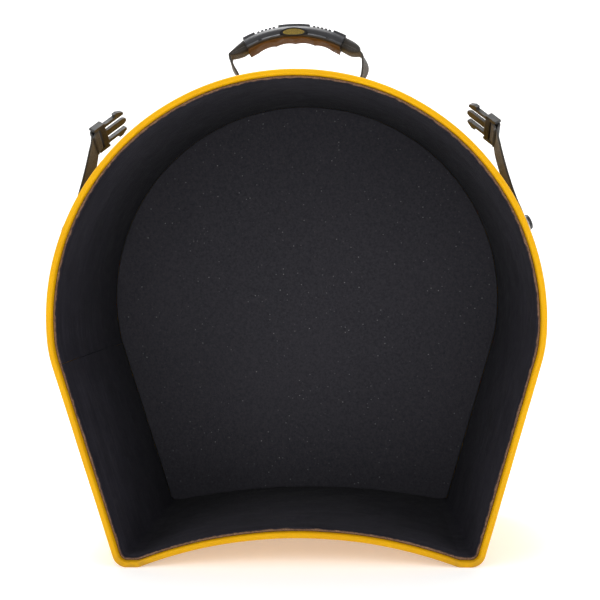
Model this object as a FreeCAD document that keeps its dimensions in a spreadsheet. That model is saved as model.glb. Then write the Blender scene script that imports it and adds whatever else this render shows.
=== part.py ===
import FreeCAD, Part
import math
import os
import re
import Sketcher

# Deep half of a round hard case: a drafted drum shell on two feet, foam linings, a webbing handle with a
# moulded grip, and two riveted straps that carry side-release plugs. X is right, the mouth faces -Y and
# Z is up, with the floor at zero and the shell's depth centred on Y.

SIZES = {
    # Shell, measured on its rim outline and from the rim backwards
    "case_depth": 185,
    "rim_radius": 230,
    "flank_angle": 16.65,
    "flank_inset": 3,
    "bend_radius": 120,
    "foot_drop": 227,
    "foot_radius": 14,
    "foot_trim": 0.2,
    "foot_flat": 8.3,
    "back_foot_flat": 6.3,
    "arch_rise": 27,
    "back_arch_rise": 13.5,
    "wall_draft": 8,
    "wall": 5.5,
    "back_wall": 5.5,
    "back_edge_radius": 12,
    "cavity_edge_radius": 4.5,
    "rim_round": 2,
    # Foam lining
    "lining": 3,
    "lining_gap": 0.3,
    "lining_recess": 4.5,
    "panel": 6,
    "panel_gap": 0.4,
    # Webbing and its rivets
    "webbing_width": 25,
    "webbing": 2,
    "seat_gap": 0.3,
    "pin_clearance": 0.05,
    "rivet_radius": 3,
    "rivet_head_radius": 7.5,
    "rivet_head": 3.8,
    "rivet_head_round": 2.6,
    "clinch_radius": 4.6,
    "clinch": 0.6,
    "washer_radius": 9,
    "washer": 1.2,
    "washer_gap": 0.2,
    "pocket_gap": 0.5,
    # How far a cut runs past the faces that it opens
    "cut_overrun": 1,
    "cut_overrun_angle": 1,
    # Handle
    "handle_depth": 75,
    "handle_rivet_reach": 42,
    "tab_inner": 14,
    "tab_outer": 12,
    "leg_lower_bend": 7,
    "leg_upper_bend": 9,
    "sleeve_length": 19,
    "sleeve_rise": 5,
    "sleeve_height": 12,
    "sleeve_width": 19,
    "sleeve_gap": 0.2,
    "grip_rise": 54.2,
    "grip_radius": 107.5,
    "grip_half_angle": 27.8,
    "grip_upper_height": 11,
    "grip_upper_width": 30,
    "grip_lower_height": 2.6,
    "grip_lower_width": 28,
    "grip_split_gap": 0.2,
    "grip_edge_round": 2.4,
    "grip_pad_rise": 2.2,
    "grip_pad_half_angle": 8.3,
    "grip_cap_angle": 6.8,
    "grip_rib_rise": 1.4,
    "grip_rib_angle": 1.25,
    "grip_rib_start": 1.9,
    "grip_rib_pitch": 2.45,
    "grip_rib_count": 5,
    "grip_top_inset": 2,
    "grip_bump": 3.4,
    "grip_bump_angle": 8,
    "finger_groove_radius": 30,
    "finger_groove": 1.4,
    "finger_groove_count": 4,
    "finger_groove_pitch": 11.5,
    "core_height": 7,
    "core_width": 16,
    "core_gap": 0.3,
    "badge_length": 28,
    "badge_height": 7.4,
    "badge": 1.1,
    "badge_drop": 7,
    "badge_gap": 0.1,
    "pin_radius": 1.7,
    "pin_angle": 19.6,
    "pin_proud": 0.4,
    # Straps and plugs
    "strap_angle": 21.4,
    "strap_depth": 32,
    "strap_pad": 28,
    "strap_width": 21.2,
    "strap_lap": 4,
    "loop_lap": 1.2,
    "loop_overhang": 0.3,
    "plug_reach": 90.7,
    "plug_setback": 9,
    "plug_lift": 12.4,
    "plug_yaw": 37.5,
    "plug_pitch": 17.3,
    "plug_roll": 13.5,
    "plug_fold": 40,
    "plug_width": 28,
    "plug_height": 7.2,
    "plug_cheek": 3,
    "plug_tail": 2.6,
    "plug_slot": 5,
    "plug_block": 6.5,
    "plug_edge_round": 1.2,
    "bar_radius": 2.1,
    "block_rib_radius": 0.5,
    "block_rib_count": 4,
    "guide_length": 27,
    "guide_width": 6.4,
    "guide_height": 3.2,
    "tine_length": 25,
    "tine_width": 3,
    "tine_height": 4.4,
    "tine_inset": 4.5,
    "tine_knuckle": 2,
    "barb_start": 14.5,
    "barb": 4.2,
    "tine_tip": 1.2,
}

V = FreeCAD.Vector

doc = FreeCAD.newDocument("HardCase")
sheet = doc.addObject("Spreadsheet::Sheet", "Sizes")
for row, (alias, number) in enumerate(SIZES.items(), start=1):
    sheet.set(f"A{row}", alias)
    sheet.set(f"B{row}", str(number))
    sheet.setAlias(f"B{row}", alias)
doc.recompute()

nodes = []


def cells(formula):
    """Formula over the sheet's aliases, written as an expression."""
    return re.sub(r"[a-z]\w*", lambda word: f"Sizes.{word[0]}" if word[0] in SIZES else word[0], formula)


def value(formula):
    """Number that a formula over the sheet's aliases gives."""
    return float(sheet.evalExpression(cells(formula)))


def bind(thing, path, formula):
    """Ties one property to a formula over the sheet's aliases."""
    thing.setExpression(path, cells(formula))


def keep(thing):
    """Lists an object as a node and returns it."""
    nodes.append(thing)
    return thing


def new_body(label):
    """Empty body that carries the node's name."""
    body = doc.addObject("PartDesign::Body", label)
    body.Label = label
    return body


def origin_feature(body, role):
    """Plane or axis of a body's own origin."""
    return next(feature for feature in body.Origin.OriginFeatures if feature.Role == role)


def new_sketch(body, name, plane):
    """Empty sketch on one of the body's own planes."""
    sketch = body.newObject("Sketcher::SketchObject", f"{body.Name}_{name}")
    sketch.AttachmentSupport = [(origin_feature(body, plane), "")]
    sketch.MapMode = "FlatFace"
    return sketch


def dimension(sketch, kind, places, formula):
    """Driving dimension of a sketch, tied to a formula."""
    start = value(formula)
    if kind == "Angle":
        start = math.radians(start)
    index = sketch.addConstraint(Sketcher.Constraint(kind, *places, start))
    name = f"size{index}"
    sketch.renameConstraint(index, name)
    bind(sketch, f"Constraints.{name}", formula)


def pin(sketch, curve, point, across, along):
    """Holds one point of a curve at two signed distances from the sketch's origin."""
    for kind, axis, formula in (("DistanceX", -2, across), ("DistanceY", -1, along)):
        number = value(formula)
        if abs(number) < 1e-9:
            sketch.addConstraint(Sketcher.Constraint("PointOnObject", curve, point, axis))
        elif number > 0:
            dimension(sketch, kind, (-1, 1, curve, point), formula)
        else:
            dimension(sketch, kind, (curve, point, -1, 1), f"-({formula})")


def polygon(sketch, corners):
    """Closed outline of straight lines with every corner held by its own pair of dimensions."""
    points = [V(value(across), value(along), 0) for across, along in corners]
    lines = []
    for start, end in zip(points, points[1:] + points[:1]):
        lines.append(sketch.addGeometry(Part.LineSegment(start, end)))
    for line, following in zip(lines, lines[1:] + lines[:1]):
        sketch.addConstraint(Sketcher.Constraint("Coincident", line, 2, following, 1))
    for line, (across, along) in zip(lines, corners):
        pin(sketch, line, 1, across, along)


def circle(sketch, across, along, radius):
    """Circle with its centre held and its radius tied to a formula."""
    centre = V(value(across), value(along), 0)
    curve = sketch.addGeometry(Part.Circle(centre, V(0, 0, 1), value(radius)))
    pin(sketch, curve, 3, across, along)
    dimension(sketch, "Radius", (curve,), radius)


def upright_box(across, low, high):
    """Corners of a rectangle that is centred across and reaches from low to high."""
    half = f"({across}) / 2"
    return [(f"-{half}", low), (half, low), (half, high), (f"-{half}", high)]


def pad(body, sketch, length, centred=True, name="pad"):
    """Pad of a sketch, to both sides of it or along its normal."""
    feature = body.newObject("PartDesign::Pad", f"{body.Name}_{name}")
    feature.Profile = sketch
    feature.Midplane = centred
    bind(feature, "Length", length)
    return feature


def loft(body, name, sections, cut=False):
    """Loft through sketches, added or cut away, straight from one to the other where there are two."""
    kind = "PartDesign::SubtractiveLoft" if cut else "PartDesign::AdditiveLoft"
    feature = body.newObject(kind, f"{body.Name}_{name}")
    feature.Profile = sections[0]
    feature.Sections = sections[1:]
    feature.Ruled = len(sections) == 2
    return feature


def turned(body, name, sketch, axis, angle, cut=False):
    """Sketch turned about one of the body's axes, to both sides of the sketch."""
    kind = "PartDesign::Groove" if cut else "PartDesign::Revolution"
    feature = body.newObject(kind, f"{body.Name}_{name}")
    feature.Profile = sketch
    feature.ReferenceAxis = (origin_feature(body, axis), [""])
    feature.Midplane = True
    bind(feature, "Angle", angle)
    return feature


def rod(body, name, radius, length, place, cut=False):
    """Cylinder added to or cut from a body."""
    kind = "PartDesign::SubtractiveCylinder" if cut else "PartDesign::AdditiveCylinder"
    feature = body.newObject(kind, f"{body.Name}_{name}")
    bind(feature, "Radius", radius)
    bind(feature, "Height", length)
    feature.Placement = place
    return feature


def rounded(body, name, base, edge_test, radius):
    """Fillet on every edge of the base that passes a test."""
    doc.recompute()
    edges = [f"Edge{i}" for i, edge in enumerate(base.Shape.Edges, start=1) if edge_test(edge)]
    feature = body.newObject("PartDesign::Fillet", f"{body.Name}_{name}")
    feature.Base = (base, edges)
    bind(feature, "Radius", radius)
    return feature


def mirrored(thing, label):
    """Left-hand copy of a right-hand piece, across the case's middle plane."""
    copy = doc.addObject("Part::Mirroring", label)
    copy.Label = label
    copy.Source = thing
    copy.Normal = V(1, 0, 0)
    return copy


def keep_pair(body, label):
    """One node that holds a right-hand piece and its left-hand copy."""
    pair = doc.addObject("Part::Compound", label)
    pair.Label = label
    pair.Links = [body, mirrored(body, f"{body.Label}_left")]
    keep(pair)


def keep_both(body, stem):
    """Two nodes: a right-hand piece and its left-hand copy."""
    keep(body)
    keep(mirrored(body, f"{stem}_left"))


def shift(x, y, z):
    """Placement that only moves."""
    return FreeCAD.Placement(V(x, y, z), FreeCAD.Rotation())


def turn(axis, angle):
    """Placement that only turns."""
    return FreeCAD.Placement(V(), FreeCAD.Rotation(axis, angle))


# The case's own frame starts at the rim plane, so every piece moves forward by half the depth.
CASE = shift(0, -value("case_depth") / 2, 0)


# Shell

def outline(body, name, depth, inset):
    """Cross-section of the drum at a depth behind the rim, drawn in by an inset.

    It runs from the round top through a bend into each straight flank, round the foot, along its flat
    and up into the arch. Towards the back the sides draw in, the crown and the feet stay level and the
    arch grows flatter. All its rounds keep their centres when the inset changes. The arch is the circle
    that touches both feet at the inner ends of their flats and has the given rise at the middle. The
    flats lie below the floor by the trim, which is cut off afterwards to leave them level.
    """
    share = f"({depth}) / case_depth"
    top_radius = f"rim_radius - wall_draft * {share} - ({inset})"
    top_height = f"foot_drop + wall_draft * {share}"
    outer_flank = f"rim_radius - flank_inset - wall_draft * {share} * (1 - sin(flank_angle))"
    flank = f"{outer_flank} - ({inset})"
    bend_radius = f"bend_radius - ({inset})"
    foot_radius = f"foot_radius - ({inset})"
    foot_height = "foot_radius - foot_trim"
    heel_across = (f"({outer_flank} - foot_radius - ({top_height} - ({foot_height})) * sin(flank_angle))"
                   f" / cos(flank_angle)")
    toe_across = f"({heel_across} - foot_flat - (back_foot_flat - foot_flat) * {share})"
    rise = f"(arch_rise + (back_arch_rise - arch_rise) * {share})"
    sag = f"({rise} + foot_trim)"
    outer_arch = f"(({toe_across} * {toe_across} + {sag} * {sag}) / (2 * {sag}) - foot_radius)"
    arch_radius = f"{outer_arch} + ({inset})"
    arch_below = f"{outer_arch} - {rise}"

    slope = math.radians(value("flank_angle"))
    outward = V(math.cos(slope), -math.sin(slope), 0)
    upward = V(math.sin(slope), math.cos(slope), 0)
    top = V(0, value(top_height), 0)
    top_size, bend_size, foot_size = value(top_radius), value(bend_radius), value(foot_radius)
    arch = V(0, -value(arch_below), 0)
    arch_size = value(arch_radius)
    climb = math.sqrt((top_size - bend_size) ** 2 - (value(flank) - bend_size) ** 2)
    bend = top + outward * (value(flank) - bend_size) + upward * climb
    heel = V(value(heel_across), value(foot_height), 0)
    toe = V(value(toe_across), value(foot_height), 0)
    bend_angle = math.atan2(bend.y - top.y, bend.x)
    toe_angle = math.atan2(toe.y - arch.y, toe.x)
    floor = heel.y - foot_size

    def arc(centre, radius, start, end):
        return Part.ArcOfCircle(Part.Circle(centre, V(0, 0, 1), radius), start, end)

    def flip(point):
        return V(-point.x, point.y, 0)

    half = math.pi
    curves = [
        arc(top, top_size, bend_angle, half - bend_angle),
        arc(flip(bend), bend_size, half - bend_angle, half + slope),
        Part.LineSegment(flip(bend + outward * bend_size), flip(heel + outward * foot_size)),
        arc(flip(heel), foot_size, half + slope, 1.5 * half),
        Part.LineSegment(V(-heel.x, floor, 0), V(-toe.x, floor, 0)),
        arc(flip(toe), foot_size, 1.5 * half, 2 * half - toe_angle),
        arc(arch, arch_size, toe_angle, half - toe_angle),
        arc(toe, foot_size, half + toe_angle, 1.5 * half),
        Part.LineSegment(V(toe.x, floor, 0), V(heel.x, floor, 0)),
        arc(heel, foot_size, 1.5 * half, 2 * half - slope),
        Part.LineSegment(heel + outward * foot_size, bend + outward * bend_size),
        arc(bend, bend_size, -slope, bend_angle),
    ]
    sketch = new_sketch(body, name, "XZ_Plane")
    bind(sketch, "AttachmentOffset.Base.z", f"-({depth})")
    for curve in curves:
        sketch.addGeometry(curve)
    # The arch is the one hollow round, so its ends are met in the opposite order.
    joins = [(0, 2, 1, 1), (1, 2, 2, 1), (2, 2, 3, 1), (3, 2, 4, 1), (4, 2, 5, 1), (5, 2, 6, 2),
             (6, 1, 7, 1), (7, 2, 8, 1), (8, 2, 9, 1), (9, 2, 10, 1), (10, 2, 11, 1), (11, 2, 0, 1)]
    for join in joins:
        sketch.addConstraint(Sketcher.Constraint("Tangent", *join))
    pin(sketch, 0, 3, "0", top_height)
    dimension(sketch, "Radius", (0,), top_radius)
    for flank_line, sign in ((2, "-"), (10, "")):
        dimension(sketch, "Angle", (flank_line,), f"{sign}(90 - flank_angle)")
        dimension(sketch, "Distance", (0, 3, flank_line), flank)
    for bend_arc in (1, 11):
        dimension(sketch, "Radius", (bend_arc,), bend_radius)
    for foot_arc in (3, 5, 7, 9):
        dimension(sketch, "Radius", (foot_arc,), foot_radius)
    for heel_arc, flat in ((3, 4), (9, 8)):
        sketch.addConstraint(Sketcher.Constraint("Horizontal", flat))
        dimension(sketch, "DistanceY", (-1, 1, heel_arc, 3), foot_height)
    dimension(sketch, "Radius", (6,), arch_radius)
    sketch.addConstraint(Sketcher.Constraint("PointOnObject", 6, 3, -2))
    dimension(sketch, "DistanceY", (6, 3, -1, 1), arch_below)
    return sketch


def anchor(angle, depth):
    """Frame on the outside of the right-hand wall, in the case's own frame.

    Its X runs up along the wall, Y runs forward and Z stands square to the drafted wall.
    """
    share = depth / value("case_depth")
    radius = value("rim_radius") - value("wall_draft") * share
    height = value("foot_drop") + value("wall_draft") * share
    lean = math.atan(value("wall_draft") * (1 - math.sin(angle)) / value("case_depth"))
    outward = V(math.cos(angle), 0, math.sin(angle))
    upward = V(-math.sin(angle), 0, math.cos(angle))
    normal = outward * math.cos(lean) + V(0, 1, 0) * math.sin(lean)
    spot = outward * radius + V(0, depth, height)
    return FreeCAD.Placement(spot, FreeCAD.Rotation(upward, normal.cross(upward), normal, "XYZ"))


def handle_angle():
    """Angle above the level of the handle's rivets on the round top."""
    radius = value("rim_radius - wall_draft * handle_depth / case_depth")
    return math.acos(value("handle_rivet_reach") / radius)


STRAP_ANCHOR = anchor(math.radians(value("strap_angle")), value("strap_depth"))
HANDLE_ANCHOR = anchor(handle_angle(), value("handle_depth"))
MIRROR_SIDES = (1, -1)


def both_sides(place):
    """A place on the right-hand wall and its mirror image, for round holes."""
    normal = place.Rotation.multVec(V(0, 0, 1))
    for side in MIRROR_SIDES:
        axis = V(side * normal.x, normal.y, normal.z)
        spot = V(side * place.Base.x, place.Base.y, place.Base.z)
        yield FreeCAD.Placement(spot, FreeCAD.Rotation(V(0, 0, 1), axis))


ROUND_STEPS = 4


def edge_round(edge_depth, edge_inset, into_depth, into_inset, radius):
    """Stations of a quarter round that replaces a sharp edge of the drum.

    The edge lies at a depth and an inset. The round leaves the wall one radius from the edge, in the
    direction of into_depth, and meets the flat end one radius further in or out, by into_inset.
    """
    for step in range(ROUND_STEPS + 1):
        angle = 90 * step / ROUND_STEPS
        along = f"{edge_depth} {into_depth} ({radius}) * (1 - sin({angle}))"
        inward = f"{edge_inset} {into_inset} ({radius}) * (1 - cos({angle}))"
        yield along, inward


def drum_lofts(body, stem, rim_round, back_round, cut=False):
    """Three lofts: a rounded rim, the drafted wall and a rounded back."""
    rounds = {}
    for name, stations in (("rim", rim_round), ("back", back_round)):
        rounds[name] = [outline(body, f"{stem}_{name}{index}", depth, inset)
                        for index, (depth, inset) in enumerate(stations)]
    wall = [rounds["rim"][0], rounds["back"][0]]
    for name, sections in (("wall", wall), ("rim", rounds["rim"]), ("back", rounds["back"])):
        loft(body, f"{stem}_{name}", sections, cut)


def build_shell():
    """Drafted drum with a rounded back, level feet, one cavity, a rounded rim and four rivet holes."""
    body = new_body("shell")
    drum_lofts(body, "drum", edge_round("0", "0", "+", "+", "rim_round"),
               edge_round("case_depth", "0", "-", "+", "back_edge_radius"))
    trim = new_sketch(body, "trim_outline", "XZ_Plane")
    polygon(trim, upright_box("rim_radius * 2", "-(foot_trim + cut_overrun)", "0"))
    feet = body.newObject("PartDesign::Pocket", "shell_feet")
    feet.Profile = trim
    feet.Type = "ThroughAll"
    drum_lofts(body, "cavity", edge_round("0", "wall", "+", "-", "rim_round"),
               edge_round("case_depth - back_wall", "wall", "-", "+", "cavity_edge_radius"), cut=True)
    for index, place in enumerate([*both_sides(STRAP_ANCHOR), *both_sides(HANDLE_ANCHOR)]):
        start = place.multiply(shift(0, 0, -value("wall + cut_overrun")))
        rod(body, f"rivet_hole{index}", "rivet_radius + pin_clearance", "wall + cut_overrun * 2", start,
            cut=True)
    body.Placement = CASE
    keep(body)


def build_wall_lining():
    """Foam strip all round the wall, pocketed behind for the rivets' backing washers."""
    body = new_body("wall_lining")
    end = "case_depth - back_wall - cavity_edge_radius - lining_gap"
    outside = "wall + lining_gap"
    inside = "wall + lining_gap + lining"
    for name, inset, cut in (("strip", outside, False), ("hollow", inside, True)):
        sections = [outline(body, f"{name}_front", "lining_recess", inset),
                    outline(body, f"{name}_rear", end, inset)]
        loft(body, name, sections, cut)
    for index, place in enumerate([*both_sides(STRAP_ANCHOR), *both_sides(HANDLE_ANCHOR)]):
        start = place.multiply(shift(0, 0, -value("wall + lining_gap + washer + clinch + washer_gap")))
        rod(body, f"pocket{index}", "washer_radius + pocket_gap",
            "washer + clinch + washer_gap + lining_gap * 2", start, cut=True)
    body.Placement = CASE
    keep(body)


def build_back_lining():
    """Flat foam panel inside the strip, against the back wall."""
    body = new_body("back_lining")
    rear = "case_depth - back_wall - lining_gap"
    sketch = outline(body, "rear", rear, "wall + lining_gap + lining + panel_gap")
    pad(body, sketch, "panel", centred=False)
    body.Placement = CASE
    keep(body)


# Rivets and washers

def build_fixings(stem, place, stack):
    """Rivet, outer washer and backing washer that clamp a webbing stack to the wall, right and left."""
    under_washer = f"seat_gap + ({stack}) + washer_gap"
    under_head = f"{under_washer} + washer"
    inner_face = "-(wall + lining_gap)"
    washer_back = f"{inner_face} - washer"
    tail = f"{washer_back} - clinch"

    rivet = new_body(f"{stem}_rivet")
    sketch = new_sketch(rivet, "profile", "XZ_Plane")
    polygon(sketch, [("0", tail), ("clinch_radius", tail), ("clinch_radius", washer_back),
                     ("rivet_radius", washer_back), ("rivet_radius", under_head),
                     ("rivet_head_radius", under_head), ("rivet_head_radius", f"{under_head} + rivet_head"),
                     ("0", f"{under_head} + rivet_head")])
    whole = turned(rivet, "turned", sketch, "Z_Axis", "360")
    crown = value(f"{under_head} + rivet_head")
    rounded(rivet, "dome", whole, lambda edge: edge.BoundBox.ZMin > crown - 1e-3 and edge.Length > 1,
            "rivet_head_round")

    washers = []
    for name, low in (("washer", under_washer), ("backing_washer", washer_back)):
        ring = new_body(f"{stem}_{name}")
        sketch = new_sketch(ring, "ring", "XY_Plane")
        circle(sketch, "0", "0", "washer_radius")
        circle(sketch, "0", "0", "rivet_radius + pin_clearance")
        bind(sketch, "AttachmentOffset.Base.z", low)
        pad(ring, sketch, "washer", centred=False)
        washers.append(ring)
    for body in (rivet, *washers):
        body.Placement = CASE.multiply(place)
        keep_pair(body, f"{body.Label}s")


# Handle

def crown_height():
    """Height of the shell's crown above the floor."""
    return value("foot_drop + rim_radius")


GRIP_CENTRE = V(0, value("handle_depth"), crown_height() + value("grip_rise - grip_radius"))
GRIP_PLACE = CASE.multiply(FreeCAD.Placement(GRIP_CENTRE, FreeCAD.Rotation()))


def sector(body, name, middle, angle, width, low, high, cut=False):
    """Ring sector about the grip's centre, with its middle turned from upright towards +X."""
    sketch = new_sketch(body, f"{name}_section", "YZ_Plane")
    sketch.AttachmentOffset = turn(V(1, 0, 0), value(middle))
    bind(sketch, "AttachmentOffset.Rotation.Angle", middle)
    polygon(sketch, upright_box(width, low, high))
    return turned(body, name, sketch, "Y_Axis", angle, cut)


def cross_hole(body, name, angle, radius_formula, reach_formula, length):
    """Hole across a grip piece, parallel to Y, at an angle from upright."""
    along = turn(V(0, 1, 0), angle)
    start = along.multiply(shift(0, -value(length) / 2, value(reach_formula)))
    rod(body, name, radius_formula, length, start.multiply(turn(V(1, 0, 0), -90)), cut=True)


SPLIT_RADIUS = "grip_radius - grip_upper_height"
CORE_TOP = f"{SPLIT_RADIUS} + core_height"
PIN_REACH = f"{SPLIT_RADIUS} + pin_radius + pin_proud"


def pin_holes(body):
    """The two cross holes for the grip's pins."""
    for name, side in (("pin_right", 1), ("pin_left", -1)):
        cross_hole(body, name, side * value("pin_angle"), "pin_radius + pin_clearance", PIN_REACH,
                   "grip_upper_width + cut_overrun * 2")


def build_grip_upper():
    """Arched channel with a raised middle pad, raised ends and ribs between them."""
    body = new_body("grip_upper")
    sweep = "grip_half_angle * 2"
    arch = sector(body, "arch", "0", sweep, "grip_upper_width", SPLIT_RADIUS, "grip_radius")
    top = value("grip_radius")

    def long_top_edge(edge):
        return hasattr(edge.Curve, "Radius") and abs(edge.Curve.Radius - top) < 1e-3

    rounded(body, "edge_round", arch, long_top_edge, "grip_edge_round")
    top_width = "grip_upper_width - (grip_edge_round + grip_top_inset) * 2"
    seat = "grip_radius - grip_edge_round"
    sector(body, "pad", "0", "grip_pad_half_angle * 2", top_width, seat, "grip_radius + grip_pad_rise")
    for side, sign in (("right", ""), ("left", "-")):
        middle = f"{sign}(grip_half_angle - grip_cap_angle / 2)"
        sector(body, f"cap_{side}", middle, "grip_cap_angle", top_width, seat, "grip_radius + grip_pad_rise")
        for rib in range(int(value("grip_rib_count"))):
            middle = f"{sign}(grip_pad_half_angle + grip_rib_start + grip_rib_pitch * {rib})"
            sector(body, f"rib_{side}{rib}", middle, "grip_rib_angle", top_width, seat,
                   "grip_radius + grip_rib_rise")
    sector(body, "channel", "0", f"{sweep} + cut_overrun_angle * 2", "core_width + core_gap * 2",
           f"{SPLIT_RADIUS} - cut_overrun", f"{CORE_TOP} + core_gap", cut=True)
    pin_holes(body)
    body.Placement = GRIP_PLACE
    keep(body)


def build_grip_lower():
    """Arched half below the split, with finger grooves and a bump at each end."""
    body = new_body("grip_lower")
    sweep = "grip_half_angle * 2"
    top = f"{SPLIT_RADIUS} - grip_split_gap"
    bottom = f"{SPLIT_RADIUS} - grip_lower_height"
    sector(body, "arch", "0", sweep, "grip_lower_width", bottom, top)
    for side, sign in (("right", ""), ("left", "-")):
        sector(body, f"bump_{side}", f"{sign}(grip_half_angle - grip_bump_angle / 2)", "grip_bump_angle",
               "grip_lower_width", f"{bottom} - grip_bump", f"{bottom} + grip_split_gap")
    count = int(value("finger_groove_count"))
    for finger in range(count):
        angle = (finger - (count - 1) / 2) * value("finger_groove_pitch")
        cross_hole(body, f"finger{finger}", angle, "finger_groove_radius",
                   f"{bottom} + finger_groove - finger_groove_radius", "grip_lower_width + cut_overrun * 2")
    body.Placement = GRIP_PLACE
    keep(body)


def build_grip_fittings():
    """Webbing core inside the grip, its two cross pins and the plain oval badge."""
    core = new_body("handle_core")
    sector(core, "arch", "0", "grip_half_angle * 2", "core_width", SPLIT_RADIUS, CORE_TOP)
    pin_holes(core)
    core.Placement = GRIP_PLACE
    keep(core)

    cross_pin = new_body("grip_pin")
    sketch = new_sketch(cross_pin, "section", "XZ_Plane")
    circle(sketch, "0", PIN_REACH, "pin_radius")
    pad(cross_pin, sketch, "grip_upper_width + pin_proud * 2")
    cross_pin.Placement = GRIP_PLACE.multiply(turn(V(0, 1, 0), value("pin_angle")))
    keep_pair(cross_pin, "grip_pins")

    badge = new_body("grip_badge")
    sketch = new_sketch(badge, "oval", "XZ_Plane")
    height = value("grip_radius - badge_drop")
    long_half, short_half = value("badge_length / 2"), value("badge_height / 2")
    oval = Part.Ellipse(V(long_half, height, 0), V(0, height + short_half, 0), V(0, height, 0))
    curve = sketch.addGeometry(oval)
    sketch.exposeInternalGeometry(curve)
    pin(sketch, curve, 3, "0", "grip_radius - badge_drop")
    dimension(sketch, "Distance", (curve + 1,), "badge_length")
    dimension(sketch, "Distance", (curve + 2,), "badge_height")
    bind(sketch, "AttachmentOffset.Base.z", "grip_upper_width / 2 + badge_gap")
    pad(badge, sketch, "badge", centred=False)
    badge.Placement = GRIP_PLACE
    keep(badge)


def section_sketch(body, name, place, width, thickness):
    """Rectangle across a ribbon: X of the place runs along the ribbon, Y across and Z through it."""
    sketch = new_sketch(body, name, "YZ_Plane")
    plane = turn(V(1, 1, 1), 120)
    sketch.AttachmentOffset = plane.inverse().multiply(place).multiply(plane)
    polygon(sketch, upright_box(width, f"-({thickness}) / 2", f"({thickness}) / 2"))
    return sketch


SLEEVE_PLACE = (GRIP_PLACE.multiply(turn(V(0, 1, 0), value("grip_half_angle")))
                .multiply(shift(0, 0, value(f"{SPLIT_RADIUS} + sleeve_rise"))))


def build_sleeve():
    """Folded webbing at each end of the grip, opening out to the flat leg."""
    body = new_body("handle_sleeve_right")
    near = section_sketch(body, "near", shift(value("sleeve_gap"), 0, 0), "sleeve_width", "sleeve_height")
    far = section_sketch(body, "far", shift(value("sleeve_length"), 0, 0), "webbing_width", "webbing")
    loft(body, "fold", [near, far])
    body.Placement = SLEEVE_PLACE
    keep_both(body, "handle_sleeve")


def build_tab():
    """Flat end of the handle's webbing under its washer."""
    body = new_body("handle_tab_right")
    sketch = new_sketch(body, "flat", "XY_Plane")
    half = "webbing_width / 2"
    polygon(sketch, [("-tab_outer", f"-{half}"), ("tab_inner", f"-{half}"), ("tab_inner", half),
                     ("-tab_outer", half)])
    circle(sketch, "0", "0", "rivet_radius + pin_clearance")
    bind(sketch, "AttachmentOffset.Base.z", "seat_gap")
    pad(body, sketch, "webbing", centred=False)
    body.Placement = CASE.multiply(HANDLE_ANCHOR)
    keep_both(body, "handle_tab")


def build_leg():
    """Webbing from the tab's outer end, through a lower and an upper bend, to the sleeve's end.

    Both bends turn the same way, so the straight run between them is the common tangent of two circles.
    """
    body = new_body("handle_leg_right")
    start = HANDLE_ANCHOR.multVec(V(-value("tab_outer"), 0, value("seat_gap + webbing / 2")))
    finish = CASE.inverse().multiply(SLEEVE_PLACE).multVec(V(value("sleeve_length"), 0, 0))
    first_heading = handle_angle() - math.pi / 2
    last_heading = math.pi - math.radians(value("grip_half_angle"))
    lower, upper = value("leg_lower_bend"), value("leg_upper_bend")

    def to_left(heading, distance):
        return V(-math.sin(heading), math.cos(heading), 0) * distance

    low_centre = V(start.x, start.z, 0) + to_left(first_heading, lower)
    high_centre = V(finish.x, finish.z, 0) + to_left(last_heading, upper)
    between = high_centre - low_centre
    heading = math.atan2(between.y, between.x) + math.asin((lower - upper) / between.Length)

    sketch = new_sketch(body, "side", "XZ_Plane")
    quarter = math.pi / 2
    arcs = []
    for sign in ("+", "-"):
        for centre, bend, begin, end in ((low_centre, "leg_lower_bend", first_heading, heading),
                                         (high_centre, "leg_upper_bend", heading, last_heading)):
            radius = f"{bend} {sign} webbing / 2"
            whole = Part.Circle(centre, V(0, 0, 1), value(radius))
            arc = sketch.addGeometry(Part.ArcOfCircle(whole, begin - quarter, end - quarter))
            dimension(sketch, "Radius", (arc,), radius)
            arcs.append(arc)
    outer_low, outer_high, inner_low, inner_high = arcs
    for low, high in ((outer_low, outer_high), (inner_low, inner_high)):
        run = Part.LineSegment(sketch.getPoint(low, 2), sketch.getPoint(high, 1))
        line = sketch.addGeometry(run)
        sketch.addConstraint(Sketcher.Constraint("Tangent", low, 2, line, 1))
        sketch.addConstraint(Sketcher.Constraint("Tangent", line, 2, high, 1))
    for outer, inner, end in ((outer_low, inner_low, 1), (outer_high, inner_high, 2)):
        cap = Part.LineSegment(sketch.getPoint(outer, end), sketch.getPoint(inner, end))
        line = sketch.addGeometry(cap)
        sketch.addConstraint(Sketcher.Constraint("Coincident", outer, end, line, 1))
        sketch.addConstraint(Sketcher.Constraint("Coincident", inner, end, line, 2))
        sketch.addConstraint(Sketcher.Constraint("Coincident", outer, 3, inner, 3))
    pad(body, sketch, "webbing_width")
    body.Placement = CASE.multiply(shift(0, value("handle_depth"), 0))
    keep_both(body, "handle_leg")


# Straps and plugs

PLUG_IN_STRAP = FreeCAD.Placement(
    V(value("plug_reach"), -value("plug_setback"), value("plug_lift")),
    FreeCAD.Rotation(-value("plug_yaw"), value("plug_pitch"), value("plug_roll")))
STRAP_PLACE = CASE.multiply(STRAP_ANCHOR)
PLUG_PLACE = STRAP_PLACE.multiply(PLUG_IN_STRAP)
LOOP_RADIUS = "bar_radius + pin_clearance + webbing"
RIBBON_SECTIONS = 7
RIBBON_PULLS = (1 / 3, 0.18)
RIBBON_TWIST_POWER = 3


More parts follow.
